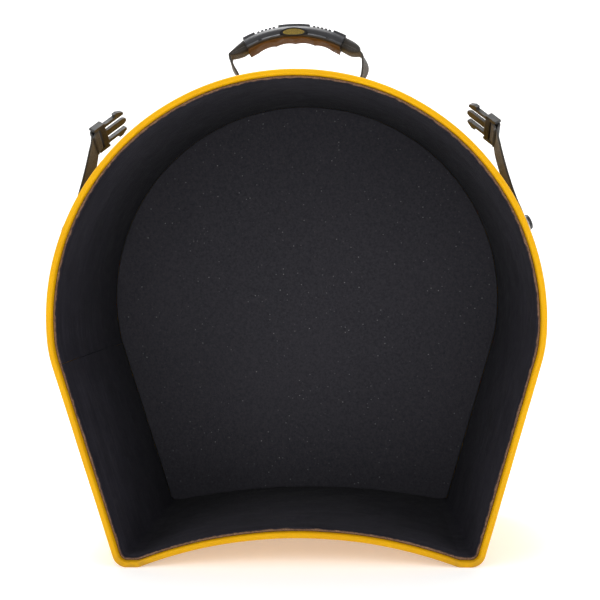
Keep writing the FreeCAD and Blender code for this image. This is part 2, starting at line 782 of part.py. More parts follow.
def ribbon_places():
    """Frames along the strap, from inside the sewn pad to the loop round the plug's bar.

    The middle line is a cubic curve that leaves the pad along the wall and meets the loop from the plug's
    inner side, folded from its length. The frames turn from one end's direction to the other's, most of
    it close to the plug.
    """
    start = V(value("strap_pad / 2 - strap_lap"), 0, value("seat_gap + webbing * 1.5"))
    folded = PLUG_IN_STRAP.multiply(turn(V(0, 1, 0), -value("plug_fold"))).Rotation
    heading = folded.multVec(V(1, 0, 0))
    finish = PLUG_IN_STRAP.Base - heading * value(f"{LOOP_RADIUS} - loop_lap")
    span = (finish - start).Length
    first_pull, last_pull = (span * pull for pull in RIBBON_PULLS)
    first = start + V(first_pull, 0, 0)
    last = finish - heading * last_pull
    for index in range(RIBBON_SECTIONS):
        share = index / (RIBBON_SECTIONS - 1)
        rest = 1 - share
        spot = (start * rest ** 3 + first * (3 * rest ** 2 * share) + last * (3 * rest * share ** 2)
                + finish * share ** 3)
        turned_share = share ** RIBBON_TWIST_POWER
        yield FreeCAD.Placement(spot, FreeCAD.Rotation().slerp(folded, turned_share))


def build_strap():
    """Strap: a doubled pad round the rivet, a twisting ribbon and a loop round the plug's bar."""
    body = new_body("strap_webbing_right")
    sections = [section_sketch(body, f"section{index}", place, "strap_width", "webbing")
                for index, place in enumerate(ribbon_places())]
    loft(body, "ribbon", sections)
    sketch = new_sketch(body, "pad_outline", "XY_Plane")
    half, end = "strap_width / 2", "strap_pad / 2"
    polygon(sketch, [(f"-{end}", f"-{half}"), (end, f"-{half}"), (end, half), (f"-{end}", half)])
    bind(sketch, "AttachmentOffset.Base.z", "seat_gap")
    pad(body, sketch, "webbing * 2", centred=False)
    loop_width = "strap_width + loop_overhang * 2"
    across = PLUG_IN_STRAP.multiply(shift(0, value(loop_width) / 2, 0)).multiply(turn(V(1, 0, 0), 90))
    rod(body, "loop", LOOP_RADIUS, loop_width, across)
    rod(body, "bar_hole", "bar_radius + pin_clearance", loop_width, across, cut=True)
    rod(body, "rivet_hole", "rivet_radius + pin_clearance", "seat_gap + webbing * 2 + cut_overrun",
        FreeCAD.Placement(), cut=True)
    body.Placement = STRAP_PLACE
    keep_both(body, "strap_webbing")


BLOCK_FRONT = "plug_slot + plug_block"
TINE_PIVOT = "plug_width / 2 - tine_inset"


def build_plug():
    """Plug body: two cheeks, the bar between them, a ribbed block and the middle guide."""
    body = new_body("plug_body_right")
    sketch = new_sketch(body, "frame", "XY_Plane")
    half, opening = "plug_width / 2", "plug_width / 2 - plug_cheek"
    polygon(sketch, [("-plug_tail", f"-({half})"), (BLOCK_FRONT, f"-({half})"), (BLOCK_FRONT, half),
                     ("-plug_tail", half), ("-plug_tail", opening), ("plug_slot", opening),
                     ("plug_slot", f"-({opening})"), ("-plug_tail", f"-({opening})")])
    frame = pad(body, sketch, "plug_height", name="frame_pad")
    height = value("plug_height")

    def upright_corner(edge):
        return edge.BoundBox.ZLength > height - 1e-3

    rounded(body, "corner_round", frame, upright_corner, "plug_edge_round")
    across = turn(V(1, 0, 0), 90)
    rod(body, "bar", "bar_radius", "plug_width - plug_cheek",
        shift(0, value("plug_width - plug_cheek") / 2, 0).multiply(across))
    for index in range(int(value("block_rib_count"))):
        step = value("plug_block") / (value("block_rib_count") + 1)
        for level, sign in (("top", 1), ("under", -1)):
            spot = shift(value("plug_slot") + step * (index + 1), value("plug_width - plug_cheek") / 2,
                         sign * height / 2)
            rod(body, f"rib_{level}{index}", "block_rib_radius", "plug_width - plug_cheek",
                spot.multiply(across))
    sketch = new_sketch(body, "guide", "XY_Plane")
    blade, tip = "guide_width / 2", f"{BLOCK_FRONT} + guide_length"
    root = f"{BLOCK_FRONT} - plug_edge_round"
    polygon(sketch, [(root, f"-{blade}"), (f"{tip} - {blade}", f"-{blade}"), (tip, f"-{blade} / 2"),
                     (tip, f"{blade} / 2"), (f"{tip} - {blade}", blade), (root, blade)])
    pad(body, sketch, "guide_height", name="guide_pad")
    for name, side in (("socket_front", 1), ("socket_rear", -1)):
        spot = shift(value(BLOCK_FRONT), side * value(TINE_PIVOT), -height / 2 - value("cut_overrun"))
        rod(body, name, "tine_knuckle + pin_clearance", "plug_height + cut_overrun * 2", spot, cut=True)
    body.Placement = PLUG_PLACE
    keep_both(body, "plug_body")


def build_tine(name, side):
    """Spring tine with a round knuckle in the block and a barb on its outer side."""
    body = new_body(f"{name}_right")
    knuckle = new_sketch(body, "knuckle", "XY_Plane")
    circle(knuckle, "0", "0", "tine_knuckle")
    pad(body, knuckle, "tine_height", name="knuckle_pad")
    sketch = new_sketch(body, "finger", "XY_Plane")
    half = "tine_width / 2"
    corners = [("0", f"-{half}"), ("tine_length", f"-{half}"), ("tine_length", "tine_tip"),
               ("barb_start + barb", "barb"), ("barb_start", "barb"), ("barb_start", half), ("0", half)]
    sign = "" if side > 0 else "-"
    polygon(sketch, [(across, f"{sign}({along})") for across, along in corners])
    pad(body, sketch, "tine_height", name="finger_pad")
    body.Placement = PLUG_PLACE.multiply(shift(value(BLOCK_FRONT), side * value(TINE_PIVOT), 0))
    keep_both(body, name)


build_shell()
build_wall_lining()
build_back_lining()
build_fixings("handle", HANDLE_ANCHOR, "webbing")
build_grip_upper()
build_grip_lower()
build_grip_fittings()
build_sleeve()
build_tab()
build_leg()
build_fixings("strap", STRAP_ANCHOR, "webbing * 2")
build_strap()
build_plug()
build_tine("plug_tine_front", 1)
build_tine("plug_tine_rear", -1)
doc.recompute()

faults = []
for thing in doc.Objects:
    if "Invalid" in thing.State or "Error" in thing.State:
        faults.append(f"{thing.Name} is {thing.State}")
for node in nodes:
    if node.Shape.isNull() or not node.Shape.isValid():
        faults.append(f"{node.Label} has no valid shape")
if faults:
    raise RuntimeError("; ".join(faults))

os.makedirs("parts", exist_ok=True)
for node in nodes:
    node.Shape.exportStep(f"parts/{node.Label}.step")
    print(f"{node.Label}: {len(node.Shape.Solids)} solids, {node.Shape.Volume / 1000:.2f} cm3")
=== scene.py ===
import math

import bmesh
import bpy
import numpy as np
from mathutils import Matrix, Vector


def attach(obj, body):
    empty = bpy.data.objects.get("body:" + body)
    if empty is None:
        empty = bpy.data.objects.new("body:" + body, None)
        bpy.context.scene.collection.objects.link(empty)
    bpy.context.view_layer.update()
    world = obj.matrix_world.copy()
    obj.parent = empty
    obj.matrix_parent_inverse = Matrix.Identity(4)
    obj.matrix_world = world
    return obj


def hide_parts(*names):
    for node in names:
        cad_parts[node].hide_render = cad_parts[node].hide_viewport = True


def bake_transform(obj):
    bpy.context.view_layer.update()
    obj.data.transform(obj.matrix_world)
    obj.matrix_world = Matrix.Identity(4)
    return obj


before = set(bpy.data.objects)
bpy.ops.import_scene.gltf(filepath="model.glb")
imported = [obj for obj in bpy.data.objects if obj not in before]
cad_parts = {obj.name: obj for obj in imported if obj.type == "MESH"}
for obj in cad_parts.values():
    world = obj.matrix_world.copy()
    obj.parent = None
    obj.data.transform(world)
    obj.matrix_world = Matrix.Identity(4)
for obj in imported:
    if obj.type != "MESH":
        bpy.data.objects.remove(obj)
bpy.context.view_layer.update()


# Shell. A round drum moulded in one piece of yellow polyethylene, closed at the back and open in front.
# Its wall ends in a rounded rim for the lid, and below it stands on two feet with an arch between them.

CASE_DEPTH = 0.185
RIM_RADIUS = 0.230
WALL_DRAFT = 0.008
FLANK_SLOPE = math.radians(16.65)
FLANK_INSET = 0.003
BEND_RADIUS = 0.120
FOOT_DROP = 0.227
FOOT_RADIUS = 0.014
FOOT_TRIM = 0.0002
FOOT_FLAT, BACK_FOOT_FLAT = 0.0083, 0.0063
ARCH_RISE, BACK_ARCH_RISE = 0.027, 0.0135
WALL = 0.0055
RIM_ROUND, BACK_ROUND, CAVITY_ROUND = 0.002, 0.012, 0.0045
OUTLINE_STEPS = {"arch": 46, "toe": 10, "flat": 3, "heel": 12, "flank": 44, "bend": 60, "top": 90}
WELD = 1e-6


def drum_outline(depth, inset):
    """Closed outline of the drum for each depth behind the rim and each inset from the outside.

    The right half goes from the arch's middle round a toe, along a foot's flat, round a heel, up the sloped
    flank, round a wide bend and along the top arc; the left half mirrors it. The top arc and the flanks draw
    in with the depth. The arch is the circle that touches both toes, and rounds keep their centres when the
    inset grows. The outline starts at the left flank's upper end. Returns x and z, one row for each station.
    """
    depth, inset = np.atleast_1d(depth)[:, None], np.atleast_1d(inset)[:, None]
    share = depth / CASE_DEPTH
    sine, cosine = math.sin(FLANK_SLOPE), math.cos(FLANK_SLOPE)
    top_radius = RIM_RADIUS - WALL_DRAFT * share - inset
    top_z = FOOT_DROP + WALL_DRAFT * share
    outer_flank = RIM_RADIUS - FLANK_INSET - WALL_DRAFT * share * (1 - sine)
    flank, bend_radius, foot_radius = outer_flank - inset, BEND_RADIUS - inset, FOOT_RADIUS - inset
    foot_z = FOOT_RADIUS - FOOT_TRIM
    heel_x = (outer_flank - FOOT_RADIUS - (top_z - foot_z) * sine) / cosine
    toe_x = heel_x - (FOOT_FLAT + (BACK_FOOT_FLAT - FOOT_FLAT) * share)
    rise = ARCH_RISE + (BACK_ARCH_RISE - ARCH_RISE) * share
    sag = rise + FOOT_TRIM
    outer_arch = (toe_x ** 2 + sag ** 2) / (2 * sag) - FOOT_RADIUS
    arch_radius, arch_z = outer_arch + inset, rise - outer_arch
    lean = np.sqrt((top_radius - bend_radius) ** 2 - (flank - bend_radius) ** 2)
    bend_x = cosine * (flank - bend_radius) + sine * lean
    bend_z = top_z - sine * (flank - bend_radius) + cosine * lean
    bend_angle = np.arctan2(bend_z - top_z, bend_x)
    toe_angle = np.arctan2(foot_z - arch_z, toe_x)

    def steps(name):
        return np.linspace(0, 1, OUTLINE_STEPS[name], endpoint=False)[None, :]

    def arc(name, x, z, radius, first, last):
        angle = first + (last - first) * steps(name)
        return x + radius * np.cos(angle), z + radius * np.sin(angle)

    def line(name, x0, z0, x1, z1):
        return x0 + (x1 - x0) * steps(name), z0 + (z1 - z0) * steps(name)

    quarter = math.pi / 2
    runs = [
        arc("arch", 0, arch_z, arch_radius, quarter, toe_angle),
        arc("toe", toe_x, foot_z, foot_radius, math.pi + toe_angle, 3 * quarter),
        line("flat", toe_x, foot_z - foot_radius, heel_x, foot_z - foot_radius),
        arc("heel", heel_x, foot_z, foot_radius, 3 * quarter, 4 * quarter - FLANK_SLOPE),
        line("flank", heel_x + cosine * foot_radius, foot_z - sine * foot_radius,
             bend_x + cosine * bend_radius, bend_z - sine * bend_radius),
        arc("bend", bend_x, bend_z, bend_radius, -FLANK_SLOPE, bend_angle),
        arc("top", 0, top_z, top_radius, bend_angle, quarter)]
    half_x = np.hstack([run[0] + 0 * share for run in runs])
    half_z = np.hstack([run[1] + 0 * share for run in runs])
    crown = np.zeros_like(share), top_z + top_radius
    left_x = np.hstack([crown[0], -half_x[:, :0:-1]])
    left_z = np.hstack([crown[1], half_z[:, :0:-1]])
    start = half_x.shape[1] + OUTLINE_STEPS["top"] + OUTLINE_STEPS["bend"]
    return (np.roll(np.hstack([half_x, left_x]), -start, axis=1),
            np.roll(np.hstack([half_z, left_z]), -start, axis=1))


def on_case(x, depth, z):
    """Points of the case from x, the depth behind the rim and z; the depth is centred on Y."""
    x, depth, z = np.broadcast_arrays(x, depth, z)
    return np.stack([x, depth - CASE_DEPTH / 2, z], axis=-1)


def lay_surface(name, grid, closed=True, ends=False, marks=None, crease=40):
    """Piece from a grid of points: rows follow each other along it, columns go across or round it.

    Four neighbouring points make a face. A closed piece joins its last column to its first, and ends fills
    the first and the last row. Points that coincide are welded, so a row that shrinks to a point is a pole.
    Marks are vectors kept for each point, for patterns that follow the surface.
    """
    rows, columns = grid.shape[:2]
    index = np.arange(rows * columns).reshape(rows, columns)
    across = np.hstack([index, index[:, :1]]) if closed else index
    faces = np.stack([across[:-1, :-1], across[:-1, 1:], across[1:, 1:], across[1:, :-1]], axis=-1)
    faces = faces.reshape(-1, 4).tolist()
    if ends:
        faces += [index[0].tolist(), index[-1, ::-1].tolist()]
    mesh = bpy.data.meshes.new(name)
    mesh.from_pydata(grid.reshape(-1, 3).tolist(), [], faces)
    for label, vectors in (marks or {}).items():
        layer = mesh.attributes.new(label, "FLOAT_VECTOR", "POINT")
        layer.data.foreach_set("vector", np.ascontiguousarray(vectors, dtype=np.float32).reshape(-1))
    skin = bmesh.new()
    skin.from_mesh(mesh)
    bmesh.ops.remove_doubles(skin, verts=skin.verts, dist=WELD)
    bmesh.ops.recalc_face_normals(skin, faces=skin.faces)
    skin.to_mesh(mesh)
    skin.free()
    mesh.shade_smooth()
    mesh.set_sharp_from_angle(angle=math.radians(crease))
    piece = bpy.data.objects.new(name, mesh)
    bpy.context.scene.collection.objects.link(piece)
    return piece


def new_finish(name, colour, **constants):
    """Material with one surface shader; constants go on its own sockets, with _ for a space in the name."""
    finish = bpy.data.materials.new(name)
    finish.use_nodes = True
    surface = finish.node_tree.nodes["Principled BSDF"]
    surface.inputs["Base Color"].default_value = (*colour, 1)
    for socket, amount in constants.items():
        surface.inputs[socket.replace("_", " ")].default_value = amount
    return finish


def add_node(finish, kind, joins=None, values=None, **choices):
    """Shader node with its choices, the values on its sockets and the outputs joined to its inputs."""
    made = finish.node_tree.nodes.new("ShaderNode" + kind)
    for choice, setting in choices.items():
        setattr(made, choice, setting)
    for socket, amount in (values or {}).items():
        made.inputs[socket].default_value = amount
    for socket, source in (joins or {}).items():
        finish.node_tree.links.new(source, made.inputs[socket])
    return made


def lie_of(finish, mark=None, stretch=(1, 1, 1)):
    """Where a pattern lies: the object's own coordinates or a mark of its points, stretched on each axis."""
    if mark:
        source = add_node(finish, "Attribute", attribute_name=mark).outputs["Vector"]
    else:
        source = add_node(finish, "TexCoord").outputs["Object"]
    return add_node(finish, "Mapping", {"Vector": source}, {"Scale": stretch}).outputs["Vector"]


def grain(finish, lie, scale, detail=4, low=0.0, high=1.0, spread=(0.3, 0.7), rough=0.55):
    """Noise of a scale per metre, its spread mapped to the range from low to high."""
    noise = add_node(finish, "TexNoise", {"Vector": lie},
                     {"Scale": scale, "Detail": detail, "Roughness": rough})
    mapped = add_node(finish, "MapRange", {"Value": noise.outputs["Fac"]},
                      {"From Min": spread[0], "From Max": spread[1], "To Min": low, "To Max": high})
    return mapped.outputs["Result"]


def blend_colours(finish, share, first, second):
    """Colour between two others by a share; either may be another node's output."""
    mix = add_node(finish, "Mix", data_type="RGBA")
    finish.node_tree.links.new(share, mix.inputs["Factor"])
    for socket, colour in ((mix.inputs[6], first), (mix.inputs[7], second)):
        if isinstance(colour, tuple):
            socket.default_value = (*colour, 1)
        else:
            finish.node_tree.links.new(colour, socket)
    return mix.outputs[2]


def calculate(finish, operation, first, second):
    """Sum, product or other plain calculation on two outputs or numbers."""
    step = add_node(finish, "Math", operation=operation)
    for socket, part in zip(step.inputs, (first, second)):
        if isinstance(part, (int, float)):
            socket.default_value = part
        else:
            finish.node_tree.links.new(part, socket)
    return step.outputs["Value"]


def relief(finish, height, depth, under=None):
    """Bump of a depth in metres from a height between 0 and 1, laid over another bump."""
    joins = {"Height": height, **({"Normal": under} if under else {})}
    return add_node(finish, "Bump", joins, {"Strength": 1.0, "Distance": depth}).outputs["Normal"]


def dress(finish, **outputs):
    """Joins node outputs to the surface shader's sockets, with _ for a space in the name."""
    surface = finish.node_tree.nodes["Principled BSDF"]
    for socket, output in outputs.items():
        finish.node_tree.links.new(output, surface.inputs[socket.replace("_", " ")])


def quarter_round(first, last, count):
    """Depth and inset shares along a quarter circle between two angles in degrees: sine and cosine."""
    angle = np.radians(np.linspace(first, last, count))
    return np.sin(angle), np.cos(angle)


def shell_stations():
    """Depth, inset and scale of each row of the shell, from the middle of the outer back to the inner one.

    The back spreads from a pole, turns through a quarter round into the wall, and the wall runs to the rim,
    over it, and back down the inside to a smaller quarter round and the inner pole.
    """
    back, floor = CASE_DEPTH, CASE_DEPTH - WALL
    spread = np.linspace(0, 1, 16)
    sine, cosine = quarter_round(0, 90, 9)
    rows = [(back + 0 * spread, BACK_ROUND + 0 * spread, spread),
            (back - BACK_ROUND * (1 - cosine), BACK_ROUND * (1 - sine), 1 + 0 * sine),
            (np.linspace(back - BACK_ROUND, RIM_ROUND, 26)[1:-1], np.zeros(24), np.ones(24)),
            (RIM_ROUND * (1 - sine), RIM_ROUND * (1 - cosine), 1 + 0 * sine),
            (RIM_ROUND * (1 - cosine), WALL - RIM_ROUND * (1 - sine), 1 + 0 * sine),
            (np.linspace(RIM_ROUND, floor - CAVITY_ROUND, 22)[1:-1], np.full(20, WALL), np.ones(20)),
            (floor - CAVITY_ROUND * (1 - sine), WALL + CAVITY_ROUND * (1 - cosine), 1 + 0 * sine),
            (floor + 0 * spread, WALL + CAVITY_ROUND + 0 * spread, spread[::-1])]
    return [np.concatenate(column) for column in zip(*rows)]


SHELL_MIDDLE_Z = 0.235
GRIME_HEIGHT = 0.012
SHELL_WAVE = 0.00005

depth, inset, scale = shell_stations()
x, z = drum_outline(depth, inset)
z = SHELL_MIDDLE_Z + (z - SHELL_MIDDLE_Z) * scale[:, None]
x = x * scale[:, None]
bearing = np.arctan2(z - SHELL_MIDDLE_Z, x)
wave = SHELL_WAVE * scale[:, None] * (np.sin(7 * bearing + 30 * depth[:, None])
                                      + np.sin(17 * bearing - 55 * depth[:, None] + 1))
x, z = x + wave * np.cos(bearing), np.maximum(z + wave * np.sin(bearing), 0)
shell = lay_surface("drum_shell", on_case(x, depth[:, None], z))

YELLOW, DEEP_YELLOW = (0.71, 0.375, 0.0010), (0.66, 0.33, 0.0008)
PALE_SCUFF, FOOT_GRIME = (0.78, 0.48, 0.05), (0.30, 0.17, 0.03)
yellow_plastic = new_finish("yellow_polyethylene", YELLOW, Subsurface_Weight=0.06, Subsurface_Scale=0.004,
                            Subsurface_Radius=(1.0, 0.5, 0.05), Specular_IOR_Level=0.13)
lie = lie_of(yellow_plastic)
mottled = blend_colours(yellow_plastic, grain(yellow_plastic, lie, 22, 5), YELLOW, DEEP_YELLOW)
scratches = grain(yellow_plastic, lie_of(yellow_plastic, stretch=(1, 0.25, 6)), 60, 8, 0, 0.5, (0.66, 0.78))
scuffed = blend_colours(yellow_plastic, scratches, mottled, PALE_SCUFF)
height = add_node(yellow_plastic, "SeparateXYZ", {"Vector": lie}).outputs["Z"]
low_down = add_node(yellow_plastic, "MapRange", {"Value": height},
                    {"From Min": 0.0, "From Max": GRIME_HEIGHT, "To Min": 1.0, "To Max": 0.0})
grime = calculate(yellow_plastic, "MULTIPLY", low_down.outputs["Result"],
                  grain(yellow_plastic, lie, 120, 6, 0.0, 0.8))
peel = relief(yellow_plastic, grain(yellow_plastic, lie, 420, 3), 0.00006)
dress(yellow_plastic, Base_Color=blend_colours(yellow_plastic, grime, scuffed, FOOT_GRIME),
      Roughness=grain(yellow_plastic, lie, 55, 7, 0.30, 0.50),
      Normal=relief(yellow_plastic, scratches, 0.00004, peel))
shell.data.materials.append(yellow_plastic)
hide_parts("shell")
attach(shell, "case")


# Wall lining. One strip of soft dark grey foam, cut from sheet and glued round the inside of the wall. Its
# cut front edge is set back from the rim, and its two ends are butted together on the left flank.

LINING, LINING_GAP, LINING_RECESS = 0.003, 0.0003, 0.0045
LINING_EDGE_ROUND = 0.0006
LINING_RAGGED, LINING_RAGGED_REACH = 0.0005, 0.02
LINING_UNEVEN, LINING_EASE = 0.00025, 0.01

lining_end = CASE_DEPTH - WALL - CAVITY_ROUND - LINING_GAP
outside, inside = WALL + LINING_GAP, WALL + LINING_GAP + LINING
edge = np.linspace(0, 1, 9)
edge_swell = LINING_EDGE_ROUND * np.abs(2 * edge - 1) ** 4
front = LINING_RECESS + edge_swell
run_in = np.linspace(LINING_RECESS + LINING_EDGE_ROUND, lining_end, 44)[1:]
run_out = np.linspace(lining_end, LINING_RECESS + LINING_EDGE_ROUND, 14)[:-1]
depth = np.concatenate([front, run_in, run_out])
inset = np.concatenate([outside + (inside - outside) * edge, np.full(run_in.size, inside),
                        np.full(run_out.size, outside)])
x, z = drum_outline(depth, inset)
length = np.hstack([[0], np.cumsum(np.hypot(np.diff(x[0]), np.diff(z[0])))])
ragged = (np.sin(23 * length) + 0.7 * np.sin(71 * length + 2) + 0.4 * np.sin(190 * length + 1)) / 2
near_front = np.clip(1 - (depth - LINING_RECESS) / LINING_RAGGED_REACH, 0, 1)[:, None]
inner_face = (inset[:, None] > inside - WELD) * np.minimum(1, (lining_end - depth[:, None]) / LINING_EASE)
swell = LINING_UNEVEN * inner_face * (np.sin(31 * length + 60 * depth[:, None])
                                      + np.sin(83 * length - 140 * depth[:, None] + 1))
bearing = np.arctan2(z - SHELL_MIDDLE_Z, x)
x, z = x + swell * np.cos(bearing), z + swell * np.sin(bearing)
grid = on_case(x, depth[:, None] + LINING_RAGGED * ragged * near_front, z).transpose(1, 0, 2)
strip_lie = np.stack(np.broadcast_arrays(length[:, None], depth[None, :], inset[None, :]), axis=-1)
wall_lining = lay_surface("wall_foam", grid, ends=True, marks={"strip": strip_lie}, crease=60)


def face_values(piece, quality):
    """Centre or normal of each face of a piece, as rows of three numbers."""
    values = np.empty(len(piece.data.polygons) * 3, dtype=np.float32)
    piece.data.polygons.foreach_get(quality, values)
    return values.reshape(-1, 3)


# The darkest foam tone serves both the random dark patches and the painted shade towards the back.
FOAM, FOAM_STREAK, FOAM_DARK_AND_SHADE = (0.0138, 0.0127, 0.0190), (0.031, 0.029, 0.039), (0.0024, 0.0023, 0.0042)
FOAM_SHADE_SHARE, FOAM_SHADE_FROM = 0.92, 0.015
BOUNCE_FADE_FIRST, BOUNCE_FADE_LAST, BOUNCE_FADE_LENGTH = 0.28, 0.72, 0.35
CUT_FACING = -0.6
# Cut edge browns: the cut foam's lighter open cells, tinted with painted bounce light from the yellow rim.
CUT_FOAM_WITH_BOUNCE, CUT_PORES_WITH_BOUNCE = (0.33, 0.20, 0.12), (0.09, 0.052, 0.034)
wall_foam = new_finish("wall_foam", FOAM, Specular_IOR_Level=0.08, Sheen_Weight=0.03, Sheen_Roughness=0.5)
streak_lie = lie_of(wall_foam, "strip", (7, 300, 0))
streaks = grain(wall_foam, streak_lie, 1.0, 5, 0, 1, (0.42, 0.72))
cells = grain(wall_foam, lie_of(wall_foam), 2200, 2)
streaked = blend_colours(wall_foam, streaks, FOAM, FOAM_STREAK)
uneven = blend_colours(wall_foam, grain(wall_foam, lie_of(wall_foam), 30, 4, 0, 0.45), streaked, FOAM_DARK_AND_SHADE)
# Painted shade: the foam darkens towards the back of the case, where shade falls deep inside.
far_in = add_node(wall_foam, "SeparateXYZ", {"Vector": lie_of(wall_foam, "strip")}).outputs["Y"]
painted_depth_shade = add_node(wall_foam, "MapRange", {"Value": far_in},
                {"From Min": FOAM_SHADE_FROM, "From Max": lining_end,
                 "To Min": 0.0, "To Max": FOAM_SHADE_SHARE})
foam_with_painted_shade = blend_colours(wall_foam, painted_depth_shade.outputs["Result"], uneven, FOAM_DARK_AND_SHADE)
dress(wall_foam, Base_Color=foam_with_painted_shade, Roughness=grain(wall_foam, lie_of(wall_foam), 90, 5, 0.62, 0.86),
      Normal=relief(wall_foam, cells, 0.00012, relief(wall_foam, streaks, 0.00015)))
cut_foam = new_finish("cut_foam", CUT_FOAM_WITH_BOUNCE, Roughness=0.9, Specular_IOR_Level=0.15)
pores = grain(cut_foam, lie_of(cut_foam), 900, 4)
speckled = blend_colours(cut_foam, pores, CUT_PORES_WITH_BOUNCE, CUT_FOAM_WITH_BOUNCE)
# Painted bounce light: the brown fades into the foam's own dark colour towards the inner face.
inward = add_node(cut_foam, "SeparateXYZ", {"Vector": lie_of(cut_foam, "strip")}).outputs["Z"]
bounce_fade_start = grain(cut_foam, lie_of(cut_foam), 160, 5, outside + BOUNCE_FADE_FIRST * LINING,
                   outside + BOUNCE_FADE_LAST * LINING)
skin = add_node(cut_foam, "MapRange", {"Value": calculate(cut_foam, "SUBTRACT", inward, bounce_fade_start)},
                {"From Min": 0.0, "From Max": BOUNCE_FADE_LENGTH * LINING}).outputs["Result"]
dress(cut_foam, Base_Color=blend_colours(cut_foam, skin, speckled, FOAM),
      Normal=relief(cut_foam, pores, 0.0004))
wall_lining.data.materials.append(wall_foam)
wall_lining.data.materials.append(cut_foam)
cut = (face_values(wall_lining, "normal")[:, 1] < CUT_FACING) & (face_values(wall_lining, "center")[:, 1] < 0)
wall_lining.data.polygons.foreach_set("material_index", cut.astype(np.int32))
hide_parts("wall_lining")
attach(wall_lining, "case")


# Back lining. A panel of denser grey foam die-cut from sheet and glued to the inside of the back, its edge
# tucked against the wall strip. Pale fibres and dust cling to it as fine specks.

PANEL, PANEL_GAP = 0.006, 0.00005
PANEL_EDGE_ROUND = 0.0016
PANEL_CROWN, PANEL_SWAY = 0.0007, 0.0003
PANEL_STEPS = 40

panel_rear = CASE_DEPTH - WALL - LINING_GAP
panel_inset = inside + PANEL_GAP
sine, cosine = quarter_round(0, 90, 7)
spread = np.linspace(0, 1, PANEL_STEPS)
depth = np.concatenate([panel_rear - PANEL - PANEL_CROWN * (1 - spread ** 2),
                        panel_rear - PANEL + PANEL_EDGE_ROUND * (1 - cosine[1:]),
                        panel_rear - PANEL_EDGE_ROUND * cosine[::-1][1:], panel_rear + 0 * spread])
tuck = np.concatenate([np.full(PANEL_STEPS, PANEL_EDGE_ROUND), PANEL_EDGE_ROUND * (1 - sine[1:]),
                       PANEL_EDGE_ROUND * (1 - sine[::-1][1:]), np.full(PANEL_STEPS, PANEL_EDGE_ROUND)])
scale = np.concatenate([spread, np.ones(2 * (sine.size - 1)), spread[::-1]])
x, z = drum_outline(np.full(depth.size, panel_rear), panel_inset + tuck)
x, z = x * scale[:, None], SHELL_MIDDLE_Z + (z - SHELL_MIDDLE_Z) * scale[:, None]
facing_front = (depth < panel_rear - PANEL / 2)[:, None]
sway = PANEL_SWAY * facing_front * np.clip(2 - 2 * scale[:, None], 0, 1) * (
    np.sin(26 * x + 3) * np.sin(31 * z) + np.sin(60 * x - 40 * z))
back_lining = lay_surface("back_foam", on_case(x, depth[:, None] + sway, z))

PANEL_GREY, PANEL_COOL = (0.0176, 0.0166, 0.0228), (0.0145, 0.0143, 0.0200)
PANEL_PALE, SPECK = (0.036, 0.034, 0.041), (0.25, 0.25, 0.26)
SPECK_SCALE, SPECK_CORE, SPECK_EDGE, SPECK_FEW, SPECK_POWER = 250.0, 0.06, 0.19, 0.66, 2.2
panel_foam = new_finish("panel_foam", PANEL_GREY, Specular_IOR_Level=0.25, Sheen_Weight=0.1,
                        Sheen_Roughness=0.5)
lie = lie_of(panel_foam)
shaded = blend_colours(panel_foam, grain(panel_foam, lie, 9, 5), PANEL_GREY, PANEL_COOL)
cloudy = blend_colours(panel_foam, grain(panel_foam, lie, 480, 5, 0, 0.75), shaded, PANEL_PALE)
dots = add_node(panel_foam, "TexVoronoi", {"Vector": lie}, {"Scale": SPECK_SCALE}, feature="F1")
small = add_node(panel_foam, "MapRange", {"Value": dots.outputs["Distance"]},
                 {"From Min": SPECK_CORE, "From Max": SPECK_EDGE, "To Min": 1.0, "To Max": 0.0})
tone = add_node(panel_foam, "SeparateColor", {"Color": dots.outputs["Color"]}).outputs["Red"]
few = add_node(panel_foam, "MapRange", {"Value": tone},
               {"From Min": SPECK_FEW, "From Max": 1.0, "To Min": 0.0, "To Max": 1.0}).outputs["Result"]
specks = calculate(panel_foam, "MULTIPLY", small.outputs["Result"],
                   calculate(panel_foam, "POWER", few, SPECK_POWER))
dress(panel_foam, Base_Color=blend_colours(panel_foam, specks, cloudy, SPECK),
      Roughness=grain(panel_foam, lie, 200, 5, 0.66, 0.9),
      Normal=relief(panel_foam, grain(panel_foam, lie, 1500, 3), 0.0002))
back_lining.data.materials.append(panel_foam)
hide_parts("back_lining")
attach(back_lining, "case")


# Handle webbing. Two lengths of black woven polyester webbing, riveted flat to the top of the shell, that
# stand up as legs and end in thick folded sleeves sewn with black thread round the grip's inner core.

HANDLE_Y = -0.0175
WEBBING, WEBBING_WIDTH = 0.002, 0.025
SELVEDGE_BEAD = 0.14
GRIP_CENTRE_Z = 0.4037
GRIP_SWEEP = 27.8
GRIP_END = math.radians(GRIP_SWEEP)
SPLIT_RADIUS = 0.0965
SLEEVE_LENGTH, SLEEVE_RISE = 0.019, 0.005


def smooth_line(points, count):
    """Points along a smooth line through given ones: cubic pieces whose slopes follow their neighbours."""
    points = np.asarray(points, dtype=float)
    knots = np.hstack([[0], np.cumsum(np.linalg.norm(np.diff(points, axis=0), axis=1))])
    slopes = np.gradient(points, knots, axis=0)
    at = np.linspace(0, knots[-1], count)
    piece = np.clip(np.searchsorted(knots, at, side="right") - 1, 0, len(knots) - 2)
    span = (knots[piece + 1] - knots[piece])[:, None]
    t = (at - knots[piece])[:, None] / span
    return ((2 * t ** 3 - 3 * t ** 2 + 1) * points[piece] + (t ** 3 - 2 * t ** 2 + t) * span * slopes[piece]
            + (3 * t ** 2 - 2 * t ** 3) * points[piece + 1] + (t ** 3 - t ** 2) * span * slopes[piece + 1])


def webbing_profile():
    """Across and through shares of a webbing's section: flat faces, rounded edges and a bead at each one."""
    across = np.sin(np.linspace(-math.pi / 2, math.pi / 2, 29))
    bead = 1 + SELVEDGE_BEAD * np.exp(-((np.abs(across) - 0.88) / 0.07) ** 2)
    through = np.sqrt(np.clip(1 - np.abs(across) ** 14, 0, 1)) * bead
    return np.hstack([across, across[-2:0:-1]]), np.hstack([through, -through[-2:0:-1]])


